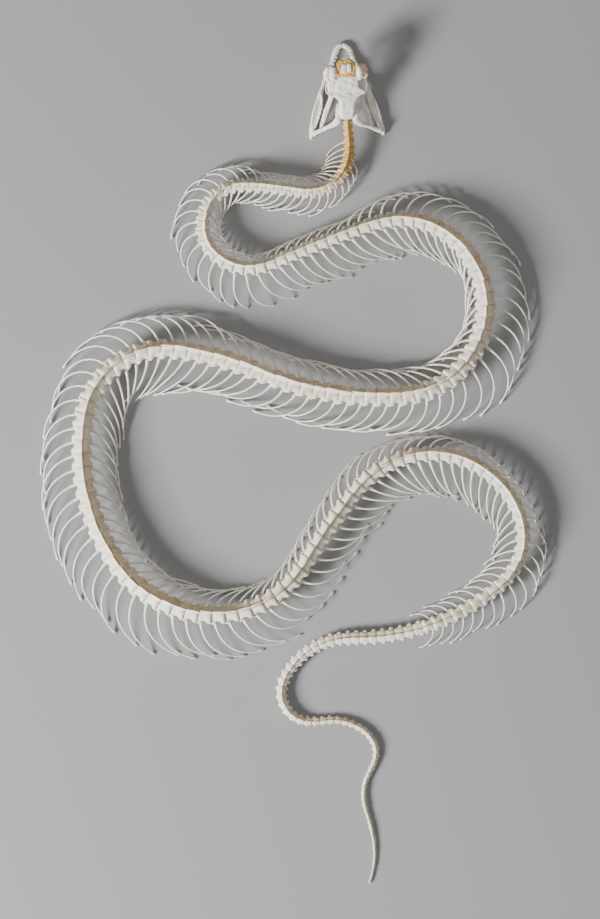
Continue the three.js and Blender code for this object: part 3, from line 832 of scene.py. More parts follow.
@dataclass
class Backbone:
    """Vertebrae and ribs along the whole line.

    Attributes:
        line: The line of the spine.
        seed: Seed of the small differences between bones.
        roll_spread: Spread of a vertebra's turn about the spine, in degrees.
        size_spread: Spread of a vertebra's size.
    """

    line: SpineLine
    seed: int = 11
    roll_spread: float = 1.4
    size_spread: float = 0.02

    def __post_init__(self) -> None:
        """Draw the small differences once, so that each run gives the same bones."""
        draw = np.random.default_rng(self.seed)
        count = len(self.line.joints) - 1
        self.roll = np.clip(draw.normal(size=count), -2, 2) * self.roll_spread
        self.size = 1 + np.clip(draw.normal(size=count), -2, 2) * self.size_spread
        self.rib_draw = np.clip(draw.normal(size=(count, len(Side), 3)), -1.8, 1.8)

    def settle(self, shape: Array, numbers: Array) -> Array:
        """Copies of a shape in half widths, one stiff copy for each vertebra.

        A point goes out by left * cos(lean) + rise * sin(lean) and up by rise * cos(lean)
        - left * sin(lean), with rise measured from the wings.

        Args:
            shape: Rings (stations, points, 3) of along, out and up in half widths.
            numbers: Numbers of the vertebrae.

        Returns:
            Rings (vertebrae, stations, points, 3) in millimetres.
        """
        joints = self.line.joints
        middle = (joints[numbers] + joints[numbers + 1]) / 2
        half = (HALF_WIDTH.at(middle) * self.size[numbers])[:, None, None]
        pitch = (joints[numbers + 1] - joints[numbers])[:, None, None]
        lean = np.radians(LEAN.at(middle) + self.roll[numbers])[:, None, None]
        spot, tailward, sideways = self.line.frames(middle)
        ahead = shape[None, ..., 0] * pitch - pitch / 2
        left = shape[None, ..., 1] * half
        rise = (shape[None, ..., 2] - WING_HEIGHT) * half
        out = left * np.cos(lean) + rise * np.sin(lean)
        centre = CENTRE_HEIGHT.at(middle)[:, None, None] + WING_HEIGHT * half
        height = centre + rise * np.cos(lean) - left * np.sin(lean)
        plan = (spot[:, None, None] + ahead[..., None] * tailward[:, None, None]
                + out[..., None] * sideways[:, None, None])
        return np.concatenate([plan, height[..., None]], axis=-1)

    def vertebrae(self, name: str, first: int, count: int, processes: dict[str, Process]) -> Piece:
        """One piece with a run of vertebrae.

        Args:
            name: Name of the piece.
            first: Number of the first vertebra.
            count: How many there are.
            processes: Parts that each is made of.

        Returns:
            The piece, not yet built.
        """
        piece = Piece(name)
        numbers = np.arange(first, first + count)
        joints = self.line.joints
        stretch = float(np.mean(np.diff(joints[first:first + count + 1])
                                / HALF_WIDTH.at(joints[first:first + count])))
        amber_depth = GREASE_STAIN.at(joints[numbers])
        for process in processes.values():
            rings = process.rings(stretch) / [stretch, 1, 1]
            for mirror in ([1, -1] if process.paired else [1]):
                lofts = self.settle(rings * [1, mirror, 1], numbers)
                piece.loft(lofts, amber_depth[:, None, None], process.tan)
        return piece

    def rib_lines(self, numbers: Array, side: Side, share: Array) -> Array:
        """Middle lines of ribs, on cubic Bezier curves in along, out and up.

        A rib leaves the spine sideways, then runs down and back in one sweep to the floor. What
        its chord has left over after reach and drop, sqrt(chord^2 - out^2 - drop^2), is its
        sweep, which counts for less of the spine's length outside a bend and for more inside.
        Its second control point lies a tenth of the sweep back and 0.6 of the way out, level
        with the head. The third lies about half the sweep back, out past the tip.

        Args:
            numbers: Numbers of the vertebrae.
            side: Side of the animal.
            share: Share of the curve at each point wanted.

        Returns:
            Array (ribs, stations, 3).
        """
        along = self.line.joints[numbers]
        draw = self.rib_draw[numbers, 0 if side is Side.LEFT else 1]
        half = HALF_WIDTH.at(along)
        longer, wider, hooked = (1 + draw * RIB_SPREADS).T
        chord = RIB_CHORD.at(along) * longer
        head = np.stack([RIB_HEAD_BACK * PITCH.at(along), RIB_HEAD_OUT * half,
                         CENTRE_HEIGHT.at(along) - RIB_HEAD_DROP * half], axis=-1)
        reach = REACH[side].at(along) * wider
        out = reach - head[:, 1]
        spare = np.sqrt(np.maximum(chord**2 - out**2 - head[:, 2] ** 2, 0))
        turn_rate = (self.line.heading_at(along + 12) - self.line.heading_at(along + 4)) / 8
        stretch = np.maximum(1 + BEND_STRETCH * side.value * turn_rate * reach, 0.5)
        straight = np.clip(spare, SWEEP_LEAST * chord, SWEEP_MOST * chord)
        sweep = np.minimum(straight / stretch, SWEEP_LIMIT * chord)
        hook = np.clip(HOOK_LEAST + HOOK_GAIN * out / chord, HOOK_LOW, 1) * hooked
        tip = np.full_like(out, RIB_TIP_HEIGHT)
        controls = np.stack([
            head,
            np.stack([head[:, 0] + 0.1 * sweep, head[:, 1] + 0.6 * out, 1.04 * head[:, 2]], axis=-1),
            np.stack([head[:, 0] + 0.48 * sweep, head[:, 1] + (1.2 - 0.22 * hook) * out,
                      0.6 * head[:, 2]], axis=-1),
            np.stack([head[:, 0] + sweep, head[:, 1] + hook * out, tip], axis=-1),
        ], axis=1)
        weights = np.stack([(1 - share) ** 3, 3 * share * (1 - share) ** 2,
                            3 * share**2 * (1 - share), share**3])
        curve = np.einsum("kt,nkc->ntc", weights, controls)
        forward, out_to, height = np.moveaxis(curve, -1, 0)
        return self.line.place(along[:, None] + forward, side.value * out_to, height)

    def ribs(self, name: str, first: int, count: int, side: Side) -> Piece:
        """One piece with the ribs of one side of a run of vertebrae.

        Args:
            name: Name of the piece.
            first: Number of the first vertebra.
            count: How many there are.
            side: Side of the animal.

        Returns:
            The piece, not yet built.
        """
        numbers = np.arange(max(first, RIBLESS[side]), first + count)
        share, girth = np.array(RIB_GIRTH).T
        lines = self.rib_lines(numbers, side, share)
        chord = RIB_CHORD.at(self.line.joints[numbers])
        radius = girth * np.clip(chord / FULL_CHORD, 0.3, 1)[:, None] ** 0.45
        middle = len(share) // 2
        plane = np.cross(lines[:, middle] - lines[:, 0], lines[:, -1] - lines[:, middle])
        rings = tube(lines, radius, radius, unit(plane)[:, None], oval(8))
        piece = Piece(name)
        amber_depth = GREASE_STAIN.at(self.line.joints[numbers]) * RIB_STAIN_SHARE
        piece.loft(rings, amber_depth[:, None, None])
        return piece

    def build(self) -> None:
        """Make every length of the neck, the trunk and the tail."""
        sides = tuple(Side)
        neck_nodes = tuple(f"neck_{side.word}" for side in sides)
        neck = self.vertebrae("neck_vertebrae", 0, NECK_COUNT, TRUNK_PROCESSES)
        neck.build(DRY_BONE, Slot.STAINED, neck_nodes)
        for side in sides:
            self.ribs(f"neck_ribs_{side.word}", 0, NECK_COUNT, side).build(RIB_BONE, Slot.STAINED)
        for i in range(TRUNK_LENGTHS):
            first = NECK_COUNT + i * TRUNK_COUNT
            label = f"{i + 1:02d}"
            nodes = tuple(f"trunk_{label}_{side.word}" for side in sides)
            trunk = self.vertebrae(f"vertebrae_{label}", first, TRUNK_COUNT, TRUNK_PROCESSES)
            trunk.build(DRY_BONE, Slot.BONE, nodes)
            for side in sides:
                ribs = self.ribs(f"ribs_{label}_{side.word}", first, TRUNK_COUNT, side)
                ribs.build(RIB_BONE, Slot.BONE)
        for i in range(TAIL_LENGTHS):
            first = TAIL_FIRST + i * TAIL_COUNT
            tail = self.vertebrae(f"tail_vertebrae_{i + 1}", first, TAIL_COUNT, TAIL_PROCESSES)
            tail.build(DRY_BONE, Slot.BONE, (f"tail_{i + 1}",))


# ------------------------------------------------------------------ the head


@dataclass(frozen=True)
class HeadPose:
    """How the skull and the lower jaws lie, from the condyle at the back of the skull.

    In the head, out is positive to the animal's right.

    Attributes:
        condyle: Place of the condyle.
        pitch: Angle by which the snout is raised.
        roll: Angle by which the skull leans to the animal's right.
        yaw: Turn of the skull.
        jaw_yaw: Turn of the lower jaws.
        jaw_offset: Jaws' middle line to the right of the condyle.
    """

    condyle: tuple[float, float, float] = (27.8, 178.9, 8.5)
    pitch: float = 24.0
    roll: float = 7.0
    yaw: float = 1.5
    jaw_yaw: float = 3.05
    jaw_offset: float = -0.2

    def skull(self, points: Array) -> Array:
        """Points of the skull's own frame in space: out, forward and up from the condyle."""
        turn = (Matrix.Rotation(np.radians(self.yaw), 3, "Z")
                @ Matrix.Rotation(np.radians(self.pitch), 3, "X")
                @ Matrix.Rotation(np.radians(self.roll), 3, "Y"))
        return points @ np.array(turn).T + self.condyle

    def jaw(self, points: Array) -> Array:
        """Points of the lower jaws' frame in space: out, forward and height above the floor."""
        turn = Matrix.Rotation(np.radians(self.jaw_yaw), 3, "Z")
        return points @ np.array(turn).T + [self.condyle[0] + self.jaw_offset, self.condyle[1], 0]

    def beside(self, share: Array, points: Array) -> Array:
        """Points beside the skull and the jaws.

        Args:
            share: From 0 on the middle line of the jaws to 1 on the skull's own.
            points: Out, forward and height above the floor.

        Returns:
            The points in space.
        """
        turn = Matrix.Rotation(np.radians(self.yaw), 3, "Z")
        own = points @ np.array(turn).T
        own[..., 2] -= points[..., 0] * np.sin(np.radians(self.roll))
        own += [self.condyle[0], self.condyle[1], 0]
        share = np.asarray(share)[..., None]
        return self.jaw(points) * (1 - share) + own * share


# Remains of tendon on the quadrates: place along the bone, length and lean.
QUADRATE_BARBS = {
    Side.LEFT: ((7, 1.5, -0.5), (10, 0.8, 0.1), (14, 1.3, 0.4)),
    Side.RIGHT: ((18, 0.7, 0.0),),
}
FLAT_BONE = 2.3            # squareness of the section of a flat bone
THINNEST = 0.05            # half width of the thinnest ring of a bone
# Rows of out, forward, height, half width and half height, out being positive.
PREFRONTAL = (
    (6.3, 22.2, 2.6, 0.8, 0.6), (6.6, 23.4, 3.1, 1.6, 1.1), (6.9, 25.0, 3.2, 1.9, 1.4),
    (6.7, 27.0, 2.9, 1.8, 1.3), (6.4, 28.6, 2.3, 1.3, 1.0), (6.1, 29.7, 1.7, 0.6, 0.5),
)
MAXILLA_REAR = (
    (9.0, 22.4, 1.0, 0.9, 0.8), (9.6, 23.5, 1.2, 1.6, 1.6), (9.9, 24.8, 1.2, 1.8, 1.9),
    (9.8, 26.0, 0.9, 1.5, 1.7), (9.5, 27.0, 0.6, 0.8, 0.9),
)
MAXILLA_FRONT = (
    (9.6, 25.9, 0.8, 0.7, 1.0), (9.9, 26.9, 0.7, 1.3, 1.5), (9.6, 28.2, 0.6, 1.3, 1.5),
    (9.0, 29.4, 0.7, 0.9, 0.9), (8.6, 30.0, 0.7, 0.3, 0.4),
)
MAXILLA_BODY = (
    (8.4, 22.5, 0.0, 0.8, 1.4), (8.8, 23.7, -0.4, 1.6, 2.6), (9.0, 25.4, -0.6, 2.1, 3.3),
    (8.8, 27.2, -0.5, 2.0, 3.1), (8.2, 28.8, 0.0, 1.4, 2.0), (7.4, 29.8, 0.4, 0.6, 0.9),
)
MAXILLA_RIM = (
    (10.6, 24.2, 1.6, 0.4, 0.5), (11.3, 25.4, 0.6, 0.5, 0.8), (11.1, 27.2, 0.5, 0.5, 0.8),
    (9.8, 28.8, 0.9, 0.4, 0.5),
)
JAW_BAR = (
    (0.15, 38.7, 1.35, 1.35, 1.15), (1.3, 38.5, 1.35, 1.45, 1.2), (2.6, 37.7, 1.3, 1.4, 1.2),
    (3.6, 36.2, 1.25, 1.35, 1.2), (4.5, 34.2, 1.3, 1.3, 1.2), (5.3, 31.6, 1.5, 1.25, 1.2),
    (7.4, 27.0, 1.8, 1.15, 1.25), (9.5, 22.4, 2.1, 1.15, 1.3), (11.6, 17.2, 2.3, 1.2, 1.4),
    (13.2, 12.8, 2.2, 1.25, 1.45), (14.6, 8.2, 1.6, 1.7, 1.2), (15.7, 4.0, 1.5, 2.1, 1.15),
    (16.8, 0.4, 1.7, 1.9, 1.3), (17.7, -2.8, 1.9, 1.5, 1.6), (18.4, -6.0, 1.9, 1.3, 1.6),
    (18.7, -8.2, 1.5, 1.15, 1.3), (18.8, -9.1, 1.3, 0.6, 0.8),
)
OUTER_CREST = (
    (12.4, 14.6, 2.6, 0.3, 0.5), (14.2, 11.4, 3.0, 0.45, 0.9), (16.1, 7.2, 3.0, 0.5, 1.1),
    (17.3, 3.0, 2.7, 0.5, 1.1), (18.2, -1.4, 2.4, 0.55, 1.0), (18.5, -5.0, 2.2, 0.5, 0.8),
)
INNER_CREST = (
    (12.2, 14.6, 2.7, 0.3, 0.5), (12.0, 11.2, 3.2, 0.5, 1.1), (12.5, 7.0, 3.6, 0.6, 1.6),
    (13.8, 2.8, 3.3, 0.6, 1.5), (15.6, -1.2, 2.7, 0.6, 1.1), (17.2, -4.4, 2.2, 0.5, 0.7),
)


@dataclass
class Head:
    """Skull, palate, quadrates and lower jaws."""

    pose: HeadPose = field(default_factory=HeadPose)
    round_points: int = 12
    voxel: float = 0.24

    def strip(self, piece: Piece, side: Side, table: list[list[float]], rings: int = 16) -> Array:
        """Loft a flat bone beside the skull through rows of share, out, forward, height, sizes.

        Args:
            piece: Piece that it becomes part of.
            side: Side of the animal.
            table: The rows, each ending with half width and half height.
            rings: Rings along the bone.

        Returns:
            Its middle line (rings, 3) in space.
        """
        rows = eased(np.array(table), rings)
        centres = self.pose.beside(rows[:, 0], rows[:, 1:4] * [-side.value, 1, 1])
        outline = oval(self.round_points, FLAT_BONE)
        piece.loft(tube(centres, rows[:, 4], rows[:, 5], np.array([0, 0, 1.0]), outline))
        return centres

    def rod(self, piece: Piece, table: list[list[float]], into: Carry, *, rings: int = 14,
            exponent: float = 2.0, up: tuple[float, float, float] = (0, 0, 1),
            stain: float = 0.0) -> None:
        """Loft a bone through rows of out, forward, height, half width and half height.

        Args:
            piece: Piece that it becomes part of.
            table: The rows.
            into: Function that carries the points into space.
            rings: Rings along the bone.
            exponent: Squareness of its section.
            up: Direction that the height is measured along.
            stain: Depth of its amber colour, for grease stain and for painted shade.
        """
        rows = eased(np.array(table, float), rings)
        rows[:, 3:] = np.maximum(rows[:, 3:], THINNEST)
        outline = oval(self.round_points, exponent)
        solid = tube(rows[:, :3], rows[:, 3], rows[:, 4], np.array(up, float), outline)
        piece.loft(into(solid), stain)

    def tooth(self, piece: Piece, root: Array, lean: Array, tip: Array, radius: float,
              into: Carry) -> None:
        """Loft a curved cone on a quadratic Bezier curve, thinning as (1 - 0.93 t)^0.8.

        Args:
            piece: Piece that it becomes part of.
            root: Middle of its root.
            lean: Point that it bows towards.
            tip: Its tip.
            radius: Radius of its root.
            into: Function that carries the points into space.
        """
        t = np.linspace(0, 1, 8)[:, None]
        line = (1 - t) ** 2 * root + 2 * t * (1 - t) * lean + t**2 * tip
        girth = radius * (1 - 0.93 * t[:, 0]) ** 0.8
        piece.loft(into(tube(line, girth, girth, np.array([1.0, 0.2, 0.1]), oval(8))))

    def cranium(self) -> None:
        """Braincase, roof, cheek arches, snout and nasal bones."""
        skull = self.pose.skull
        stations = np.array([
            [0.4, 1.8, 1.0, 1.6, -1.6], [1.8, 3.4, 2.5, 3.1, -2.8], [4.0, 4.0, 3.3, 4.0, -3.4],
            [7.0, 4.2, 3.6, 4.6, -3.6], [11.0, 4.2, 3.7, 4.5, -3.2], [14.0, 4.3, 3.9, 4.1, -2.4],
            [17.0, 3.6, 3.2, 3.5, -1.8], [21.0, 3.1, 2.8, 3.2, -1.4], [25.0, 2.7, 2.2, 2.6, -1.2],
        ])
        rows = eased(stations, 30)
        forward, half, roof, high, low = rows.T
        corners = np.stack([
            np.stack([out, forward, height], axis=-1) for out, height in (
                (roof, high), (half, 0.45 * high), (0.85 * half, 0.5 * low), (0.35 * half, low),
                (-0.35 * half, low), (-0.85 * half, 0.5 * low), (-half, 0.45 * high), (-roof, high),
            )
        ], axis=1)
        braincase = Piece("braincase")
        braincase.loft(skull(rounded(corners, 3)))
        self.rod(braincase, [
            [0, -0.6, 0.0, 0.3, 0.3], [0, -0.3, 0.0, 1.2, 1.0], [0, 0.5, 0.0, 1.5, 1.3],
            [0, 1.4, 0.0, 1.6, 1.5],
        ], skull, rings=8)
        for out in (-1, 1):
            self.rod(braincase, [
                [out * 2.0, 0.9, 1.8, 0.6, 0.5], [out * 3.4, 2.2, 1.7, 1.0, 0.9],
                [out * 4.0, 5.0, 1.4, 0.8, 0.9], [out * 4.0, 8.0, 1.6, 0.3, 0.4],
            ], skull)
        braincase.build(SKULL_BONE, Slot.BONE, ("skull_cranium",), voxel=self.voxel)
        self.roof()
        self.snout()

    def roof(self) -> None:
        """Plate of the skull's top, with its cheek corners and the thin bars behind the eyes.

        Across the plate, v goes from -1 to 1. Its top lies at height - 0.35 + 0.5 sqrt(1 - v^2),
        with a furrow along the middle of the front bones and one over it where they end.
        """
        skull = self.pose.skull
        table = eased(np.array([
            [0.9, 1.3, 2.5, 0.3], [2.0, 2.6, 3.5, 0.4], [4.0, 3.5, 4.3, 0.5], [7.0, 4.0, 4.75, 0.6],
            [10.0, 4.3, 4.75, 0.6], [12.2, 4.9, 4.65, 0.6], [13.7, 6.4, 4.4, 0.6],
            [14.9, 8.8, 4.0, 0.5],
            [15.7, 10.2, 3.7, 0.45], [16.4, 9.2, 3.85, 0.5], [17.4, 7.4, 4.05, 0.6],
            [19.0, 6.2, 4.15, 0.7], [21.0, 6.0, 4.1, 0.7], [22.8, 6.1, 3.95, 0.7],
            [24.0, 5.5, 3.8, 0.6], [24.8, 4.2, 3.6, 0.4],
        ]), 64)
        forward, half, high, thick = table.T[..., None]
        across = np.linspace(-1, 1, 25)
        out = across * half
        crown = np.sqrt(np.clip(1 - across**2, 0, 1))
        furrow = np.exp(-((out / 0.22) ** 2)) * np.clip((forward - 16.5) / 1.5, 0, 1)
        seam = np.exp(-(((forward - 16.2 - 1.2 * across**2) / 0.25) ** 2)) * (np.abs(across) < 0.75)
        ridges = np.exp(-(((np.abs(out) - 0.62 * half) / 0.5) ** 2))
        ridges = ridges * np.clip((14.5 - forward) / 2.5, 0, 1)
        rise = high - 0.35 + 0.5 * crown - 0.16 * furrow - 0.10 * seam + 0.18 * ridges
        flat = np.stack(np.broadcast_arrays(out, forward, 0), axis=-1)
        rise += 0.10 * waves(flat.reshape(-1, 3), 3.0).reshape(rise.shape)
        top = np.concatenate([flat[..., :2], rise[..., None]], axis=-1)
        under = top[:, ::-1].copy()
        under[..., 2] -= 0.35 + 1.1 * crown * thick
        plate = Piece("skull_roof")
        plate.loft(skull(np.concatenate([top, under], axis=1)))
        for out in (-1, 1):
            self.rod(plate, [
                [out * 8.2, 15.3, 3.7, 0.8, 0.5], [out * 10.0, 15.9, 3.1, 0.55, 0.5],
                [out * 10.7, 17.2, 1.9, 0.4, 0.45], [out * 10.6, 19.2, 0.8, 0.38, 0.4],
                [out * 9.8, 21.2, 0.2, 0.38, 0.4], [out * 8.6, 22.6, 0.2, 0.4, 0.4],
            ], skull)
        plate.build(SKULL_BONE, Slot.BONE)

    def snout(self) -> None:
        """Greasy nasal capsule, the two nasal plates on it and the thin arc of the premaxilla."""
        skull = self.pose.skull
        capsule = Piece("nasal_capsule")
        self.rod(capsule, [
            [0, 22.6, 2.4, 3.6, 1.4], [0, 24.6, 2.1, 4.4, 1.6], [0, 26.4, 1.5, 5.0, 1.9],
            [0, 28.6, 0.9, 5.2, 2.0], [0, 30.8, 0.5, 4.9, 1.9], [0, 32.2, 0.3, 3.9, 1.5],
            [0, 33.1, 0.1, 2.2, 0.8], [0, 33.4, 0.0, 0.6, 0.3],
        ], skull, rings=20, exponent=2.6, stain=0.35)
        for out in (-1, 1):
            self.rod(capsule, [
                [out * 3.4, 27.2, 2.4, 0.5, 0.4], [out * 3.8, 28.8, 2.1, 1.1, 0.9],
                [out * 3.5, 30.6, 1.7, 1.1, 0.8], [out * 2.6, 32.0, 1.1, 0.8, 0.6],
                [out * 1.4, 32.6, 0.8, 0.4, 0.4],
            ], skull, stain=0.7)
        capsule.build(GREASED, Slot.STAINED, voxel=self.voxel)

        nasals = Piece("nasal_bones")
        for out in (-1, 1):
            self.rod(nasals, [
                [out * 1.3, 27.0, 2.9, 1.0, 0.5], [out * 1.33, 27.3, 3.1, 1.15, 0.6],
                [out * 1.36, 29.2, 2.95, 1.2, 0.6], [out * 1.33, 30.7, 2.6, 1.1, 0.5],
                [out * 1.3, 31.2, 2.4, 0.85, 0.35],
            ], skull, exponent=5.0)
        nasals.build(SKULL_BONE, Slot.BONE)

        premaxilla = Piece("premaxilla")
        self.rod(premaxilla, [
            [-3.6, 31.4, 0.4, 0.3, 0.3], [-2.5, 32.8, 0.2, 0.35, 0.5], [0, 33.5, 0.0, 0.4, 0.7],
            [2.5, 32.8, 0.2, 0.35, 0.5], [3.6, 31.4, 0.4, 0.3, 0.3],
        ], skull)
        premaxilla.build(SKULL_BONE, Slot.BONE)

    def upper_jaw(self, side: Side) -> None:
        """Prefrontal, maxilla with its pit, and fangs of one side.

        Args:
            side: Side of the animal.
        """
        out = -side.value
        skull = self.pose.skull
        # The right maxilla takes brown amber: painted shade of the side turned from the key light, and
        # some dried brown membrane.
        shade_and_membrane_brown = 0.0 if side is Side.LEFT else 0.55
        block = Piece(f"maxilla_bone_{side.word}")
        for table, stain in ((PREFRONTAL, 0.0), (MAXILLA_REAR, shade_and_membrane_brown), (MAXILLA_FRONT, shade_and_membrane_brown),
                             (MAXILLA_BODY, shade_and_membrane_brown), (MAXILLA_RIM, shade_and_membrane_brown)):
            self.rod(block, np.array(table) * [out, 1, 1, 1, 1], skull, exponent=FLAT_BONE, stain=stain)
        self.rod(block, [
            [out * 7.9, 25.0, -3.4, 1.4, 1.6], [out * 7.9, 25.8, -4.2, 1.5, 1.7],
            [out * 7.95, 26.0, -4.9, 1.2, 1.3], [out * 8.0, 26.0, -5.4, 0.7, 0.8],
        ], skull, rings=8, up=(0, 1, 0))
        block.build(KNOBBLY_BONE, Slot.BONE, (f"maxilla_{side.word}",), voxel=self.voxel)
        fangs = Piece(f"fang_{side.word}")
        self.tooth(fangs, np.array([out * 8.1, 26.2, -4.6]), np.array([out * 8.3, 25.4, -8.4]),
                   np.array([out * 8.1, 21.8, -9.6]), 0.85, skull)
        self.tooth(fangs, np.array([out * 6.9, 25.6, -4.4]), np.array([out * 7.0, 24.9, -6.8]),
                   np.array([out * 7.0, 22.6, -7.8]), 0.6, skull)
        fangs.build(TOOTH, Slot.BONE)

    def palate(self, side: Side) -> None:
        """Ectopterygoid, pterygoid and palatine of one side, with their small teeth.

        Args:
            side: Side of the animal.
        """
        out = -side.value
        bone = Piece(f"pterygoid_{side.word}")
        centres = self.strip(bone, side, [
            [1, 8.3, 21.6, 14.9, 1.4, 0.5], [1, 8.3, 20.2, 14.2, 1.9, 0.6], [1, 8.0, 17.8, 13.0, 2.2, 0.6],
            [1, 7.8, 15.0, 11.5, 1.9, 0.6], [1, 7.7, 12.2, 10.1, 1.4, 0.65],
            [0.8, 8.6, 9.2, 8.8, 1.3, 0.7], [0.6, 9.8, 6.0, 7.4, 1.35, 0.75],
            [0.4, 11.1, 2.8, 6.2, 1.3, 0.75], [0.2, 12.2, -0.4, 5.1, 1.2, 0.7],
            [0, 13.3, -3.6, 4.6, 0.8, 0.55], [0, 13.6, -4.4, 4.4, 0.4, 0.4],
        ], rings=34)
        inner = self.strip(bone, side, [
            [1, 7.0, 13.6, 10.9, 0.8, 0.5], [1, 5.6, 16.8, 12.2, 0.7, 0.6], [1, 4.4, 20.0, 13.8, 0.6, 0.7],
            [1, 3.8, 23.4, 15.6, 0.6, 0.6], [1, 3.6, 25.4, 16.8, 0.3, 0.3],
        ], rings=16)
        bone.build(SKULL_BONE, Slot.BONE, (f"palate_{side.word}",), voxel=self.voxel)
        teeth = Piece(f"palate_teeth_{side.word}")
        for spot in np.vstack([inner[2:-1:3], centres[18:28:3]]):
            self.tooth(teeth, spot + [0, 0, -0.3], spot + [0, -0.1, -1.2], spot + [0, -0.7, -1.7], 0.25,
                       lambda points: points)
        teeth.build(TOOTH, Slot.BONE)

    def quadrate(self, side: Side) -> None:
        """Supratemporal on the back of the skull, and the quadrate out to the jaw joint.

        Args:
            side: Side of the animal.
        """
        out = -side.value
        bone = Piece(f"quadrate_bone_{side.word}")
        self.strip(bone, side, [
            [1, 4.4, 8.0, 12.6, 0.4, 0.3], [1, 4.8, 5.6, 12.0, 0.8, 0.6], [1, 4.9, 2.4, 11.3, 1.0, 0.7],
            [1, 4.7, -0.4, 10.7, 1.2, 0.8], [1, 4.6, -1.9, 10.3, 0.7, 0.5],
        ])
        centres = self.strip(bone, side, [
            [1, 4.0, 0.8, 11.0, 1.0, 0.6], [1, 4.9, -0.9, 10.6, 1.9, 0.8],
            [0.85, 6.4, -2.2, 9.8, 1.7, 0.8], [0.6, 8.6, -3.3, 8.6, 1.2, 0.8],
            [0.4, 11.0, -4.2, 7.3, 1.05, 0.8], [0.2, 13.6, -5.2, 6.1, 1.1, 0.8],
            [0.05, 15.9, -6.0, 4.8, 1.3, 0.9], [0, 17.4, -6.5, 4.15, 1.6, 1.0],
            [0, 18.2, -6.8, 3.85, 1.0, 0.7],
        ], rings=28)
        for along, length, lean in QUADRATE_BARBS[side]:
            spot = centres[along]
            tip = spot + [lean, -0.9 - length, -0.5]
            self.tooth(bone, spot, spot + [-0.3, -0.6 * length, 0.1], tip, 0.55, lambda points: points)
        bone.build(SKULL_BONE, Slot.BONE, (f"quadrate_{side.word}",), voxel=self.voxel)

    def mandible(self, side: Side) -> None:
        """Half of the lower jaw: dentary with teeth, hollowed compound bone and hooked rear end.

        Args:
            side: Side of the animal.
        """
        out = -side.value
        jaw = self.pose.jaw
        bone = Piece(f"mandible_bone_{side.word}")
        for table, rings in ((JAW_BAR, 60), (OUTER_CREST, 28), (INNER_CREST, 28)):
            self.rod(bone, np.array(table) * [out, 1, 1, 1, 1], jaw, rings=rings, exponent=FLAT_BONE)
        bone.build(SKULL_BONE, Slot.BONE, (f"mandible_{side.word}",), voxel=self.voxel)
        teeth = Piece(f"dentary_teeth_{side.word}")
        rows = eased(np.array([
            [1.9, 37.2, 2.1, 1.2], [2.7, 35.9, 2.1, 1.5], [3.4, 34.0, 2.2, 1.5], [4.1, 31.8, 2.3, 1.2],
            [5.0, 29.6, 2.5, 1.0], [5.9, 27.4, 2.6, 0.8],
        ]), 7)
        for index, (place_out, forward, height, length) in enumerate(rows):
            long = length * (1.15 if index % 2 else 0.8)
            root = np.array([out * place_out, forward, height])
            self.tooth(teeth, root, root + [-out * 0.35 * long, -0.1, 0.75 * long],
                       root + [-out * 0.3 * long, -0.75 * long, 1.05 * long], 0.34, jaw)
        teeth.build(TOOTH, Slot.BONE)

    def build(self) -> None:
        """Make every bone of the head."""
        self.cranium()
        for side in Side:
            self.upper_jaw(side)
            self.palate(side)
            self.quadrate(side)
            self.mandible(side)


# ------------------------------------------------------------------ studio


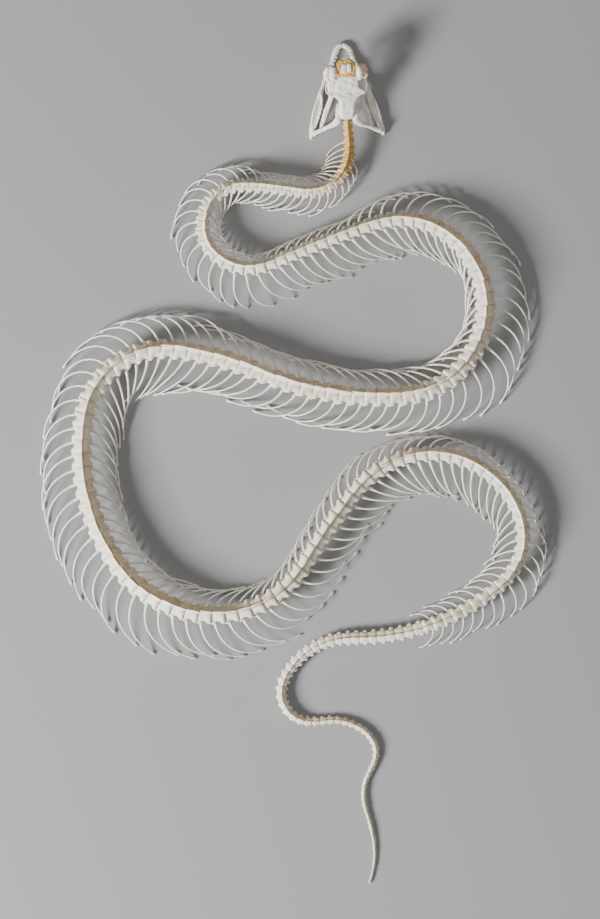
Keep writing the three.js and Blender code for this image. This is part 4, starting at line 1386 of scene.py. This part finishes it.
@dataclass(frozen=True)
class Studio:
    """Camera, floor and lights.

    Attributes:
        view_centre: Point of the floor in the middle of the picture.
        view_height: Length that the picture's height takes in, measured among the bones.
        bone_height: Height above the floor at which it is measured.
        camera_height: Height of the camera.
        floor_half: Half side of the floor.
        floor_colour: Colour of the floor.
    """

    view_centre: tuple[float, float] = (3.47, 1.88)
    view_height: float = 477.9
    bone_height: float = 8.0
    camera_height: float = 3000.0
    floor_half: float = 3000.0
    floor_colour: tuple[float, float, float] = (0.29, 0.295, 0.305)

    def camera(self) -> None:
        """Camera straight above, its picture upright along +Y."""
        data = bpy.data.cameras.new("Camera")
        data.sensor_fit = "VERTICAL"
        data.sensor_height = 24.0
        distance = self.camera_height - self.bone_height
        data.lens = data.sensor_height * distance / self.view_height
        data.clip_end = 20.0
        camera = bpy.data.objects.new("Camera", data)
        camera.location = Vector((*self.view_centre, self.camera_height)) * MM
        bpy.context.scene.collection.objects.link(camera)
        bpy.context.scene.camera = camera

    def floor(self) -> None:
        """Plain pale floor, one flat sheet."""
        half = self.floor_half * MM
        mesh = bpy.data.meshes.new("Floor")
        corners = [(-half, -half, 0), (half, -half, 0), (half, half, 0), (-half, half, 0)]
        mesh.from_pydata(corners, [], [(0, 1, 2, 3)])
        material = bpy.data.materials.new("Floor paper")
        material.use_nodes = True
        shader = material.node_tree.nodes["Principled BSDF"]
        shader.inputs["Base Color"].default_value = (*self.floor_colour, 1)
        shader.inputs["Roughness"].default_value = 0.9
        mesh.materials.append(material)
        floor = bpy.data.objects.new("Floor", mesh)
        bpy.context.scene.collection.objects.link(floor)

    def light(self, name: str, place: tuple[float, float, float], size: float, power: float,
              colour: tuple[float, float, float]) -> None:
        """A soft square light that faces the middle of the floor.

        Args:
            name: Name of the light.
            place: Its place in metres.
            size: Its side in metres.
            power: Its power in watts.
            colour: Its colour.
        """
        data = bpy.data.lights.new(name, "AREA")
        data.size = size
        data.energy = power
        data.color = colour
        light = bpy.data.objects.new(name, data)
        light.location = place
        light.rotation_euler = (-Vector(place)).to_track_quat("-Z", "Y").to_euler()
        bpy.context.scene.collection.objects.link(light)

    def lights(self) -> None:
        """Low key light from the left of the picture, and weaker ones that open its shadows."""
        self.light("Key", (-1.3, -0.75, 0.8), 0.45, 82.0, (1.0, 0.985, 0.955))
        self.light("Fill", (0.9, 0.9, 1.6), 1.6, 7.0, (1.0, 0.93, 0.82))
        self.light("Top", (0.0, 0.0, 2.2), 1.2, 7.0, (1.0, 1.0, 1.0))
        world = bpy.data.worlds.new("Studio")
        world.use_nodes = True
        background = world.node_tree.nodes["Background"]
        background.inputs["Color"].default_value = (0.8, 0.82, 0.85, 1)
        background.inputs["Strength"].default_value = 0.2
        bpy.context.scene.world = world


def main() -> None:
    """Build the studio, the backbone and the head in order."""
    logging.basicConfig(level=logging.INFO, format="%(name)s: %(message)s")
    studio = Studio()
    studio.camera()
    Backbone(SpineLine()).build()
    Head().build()
    studio.floor()
    studio.lights()


if __name__ == "__main__":
    main()
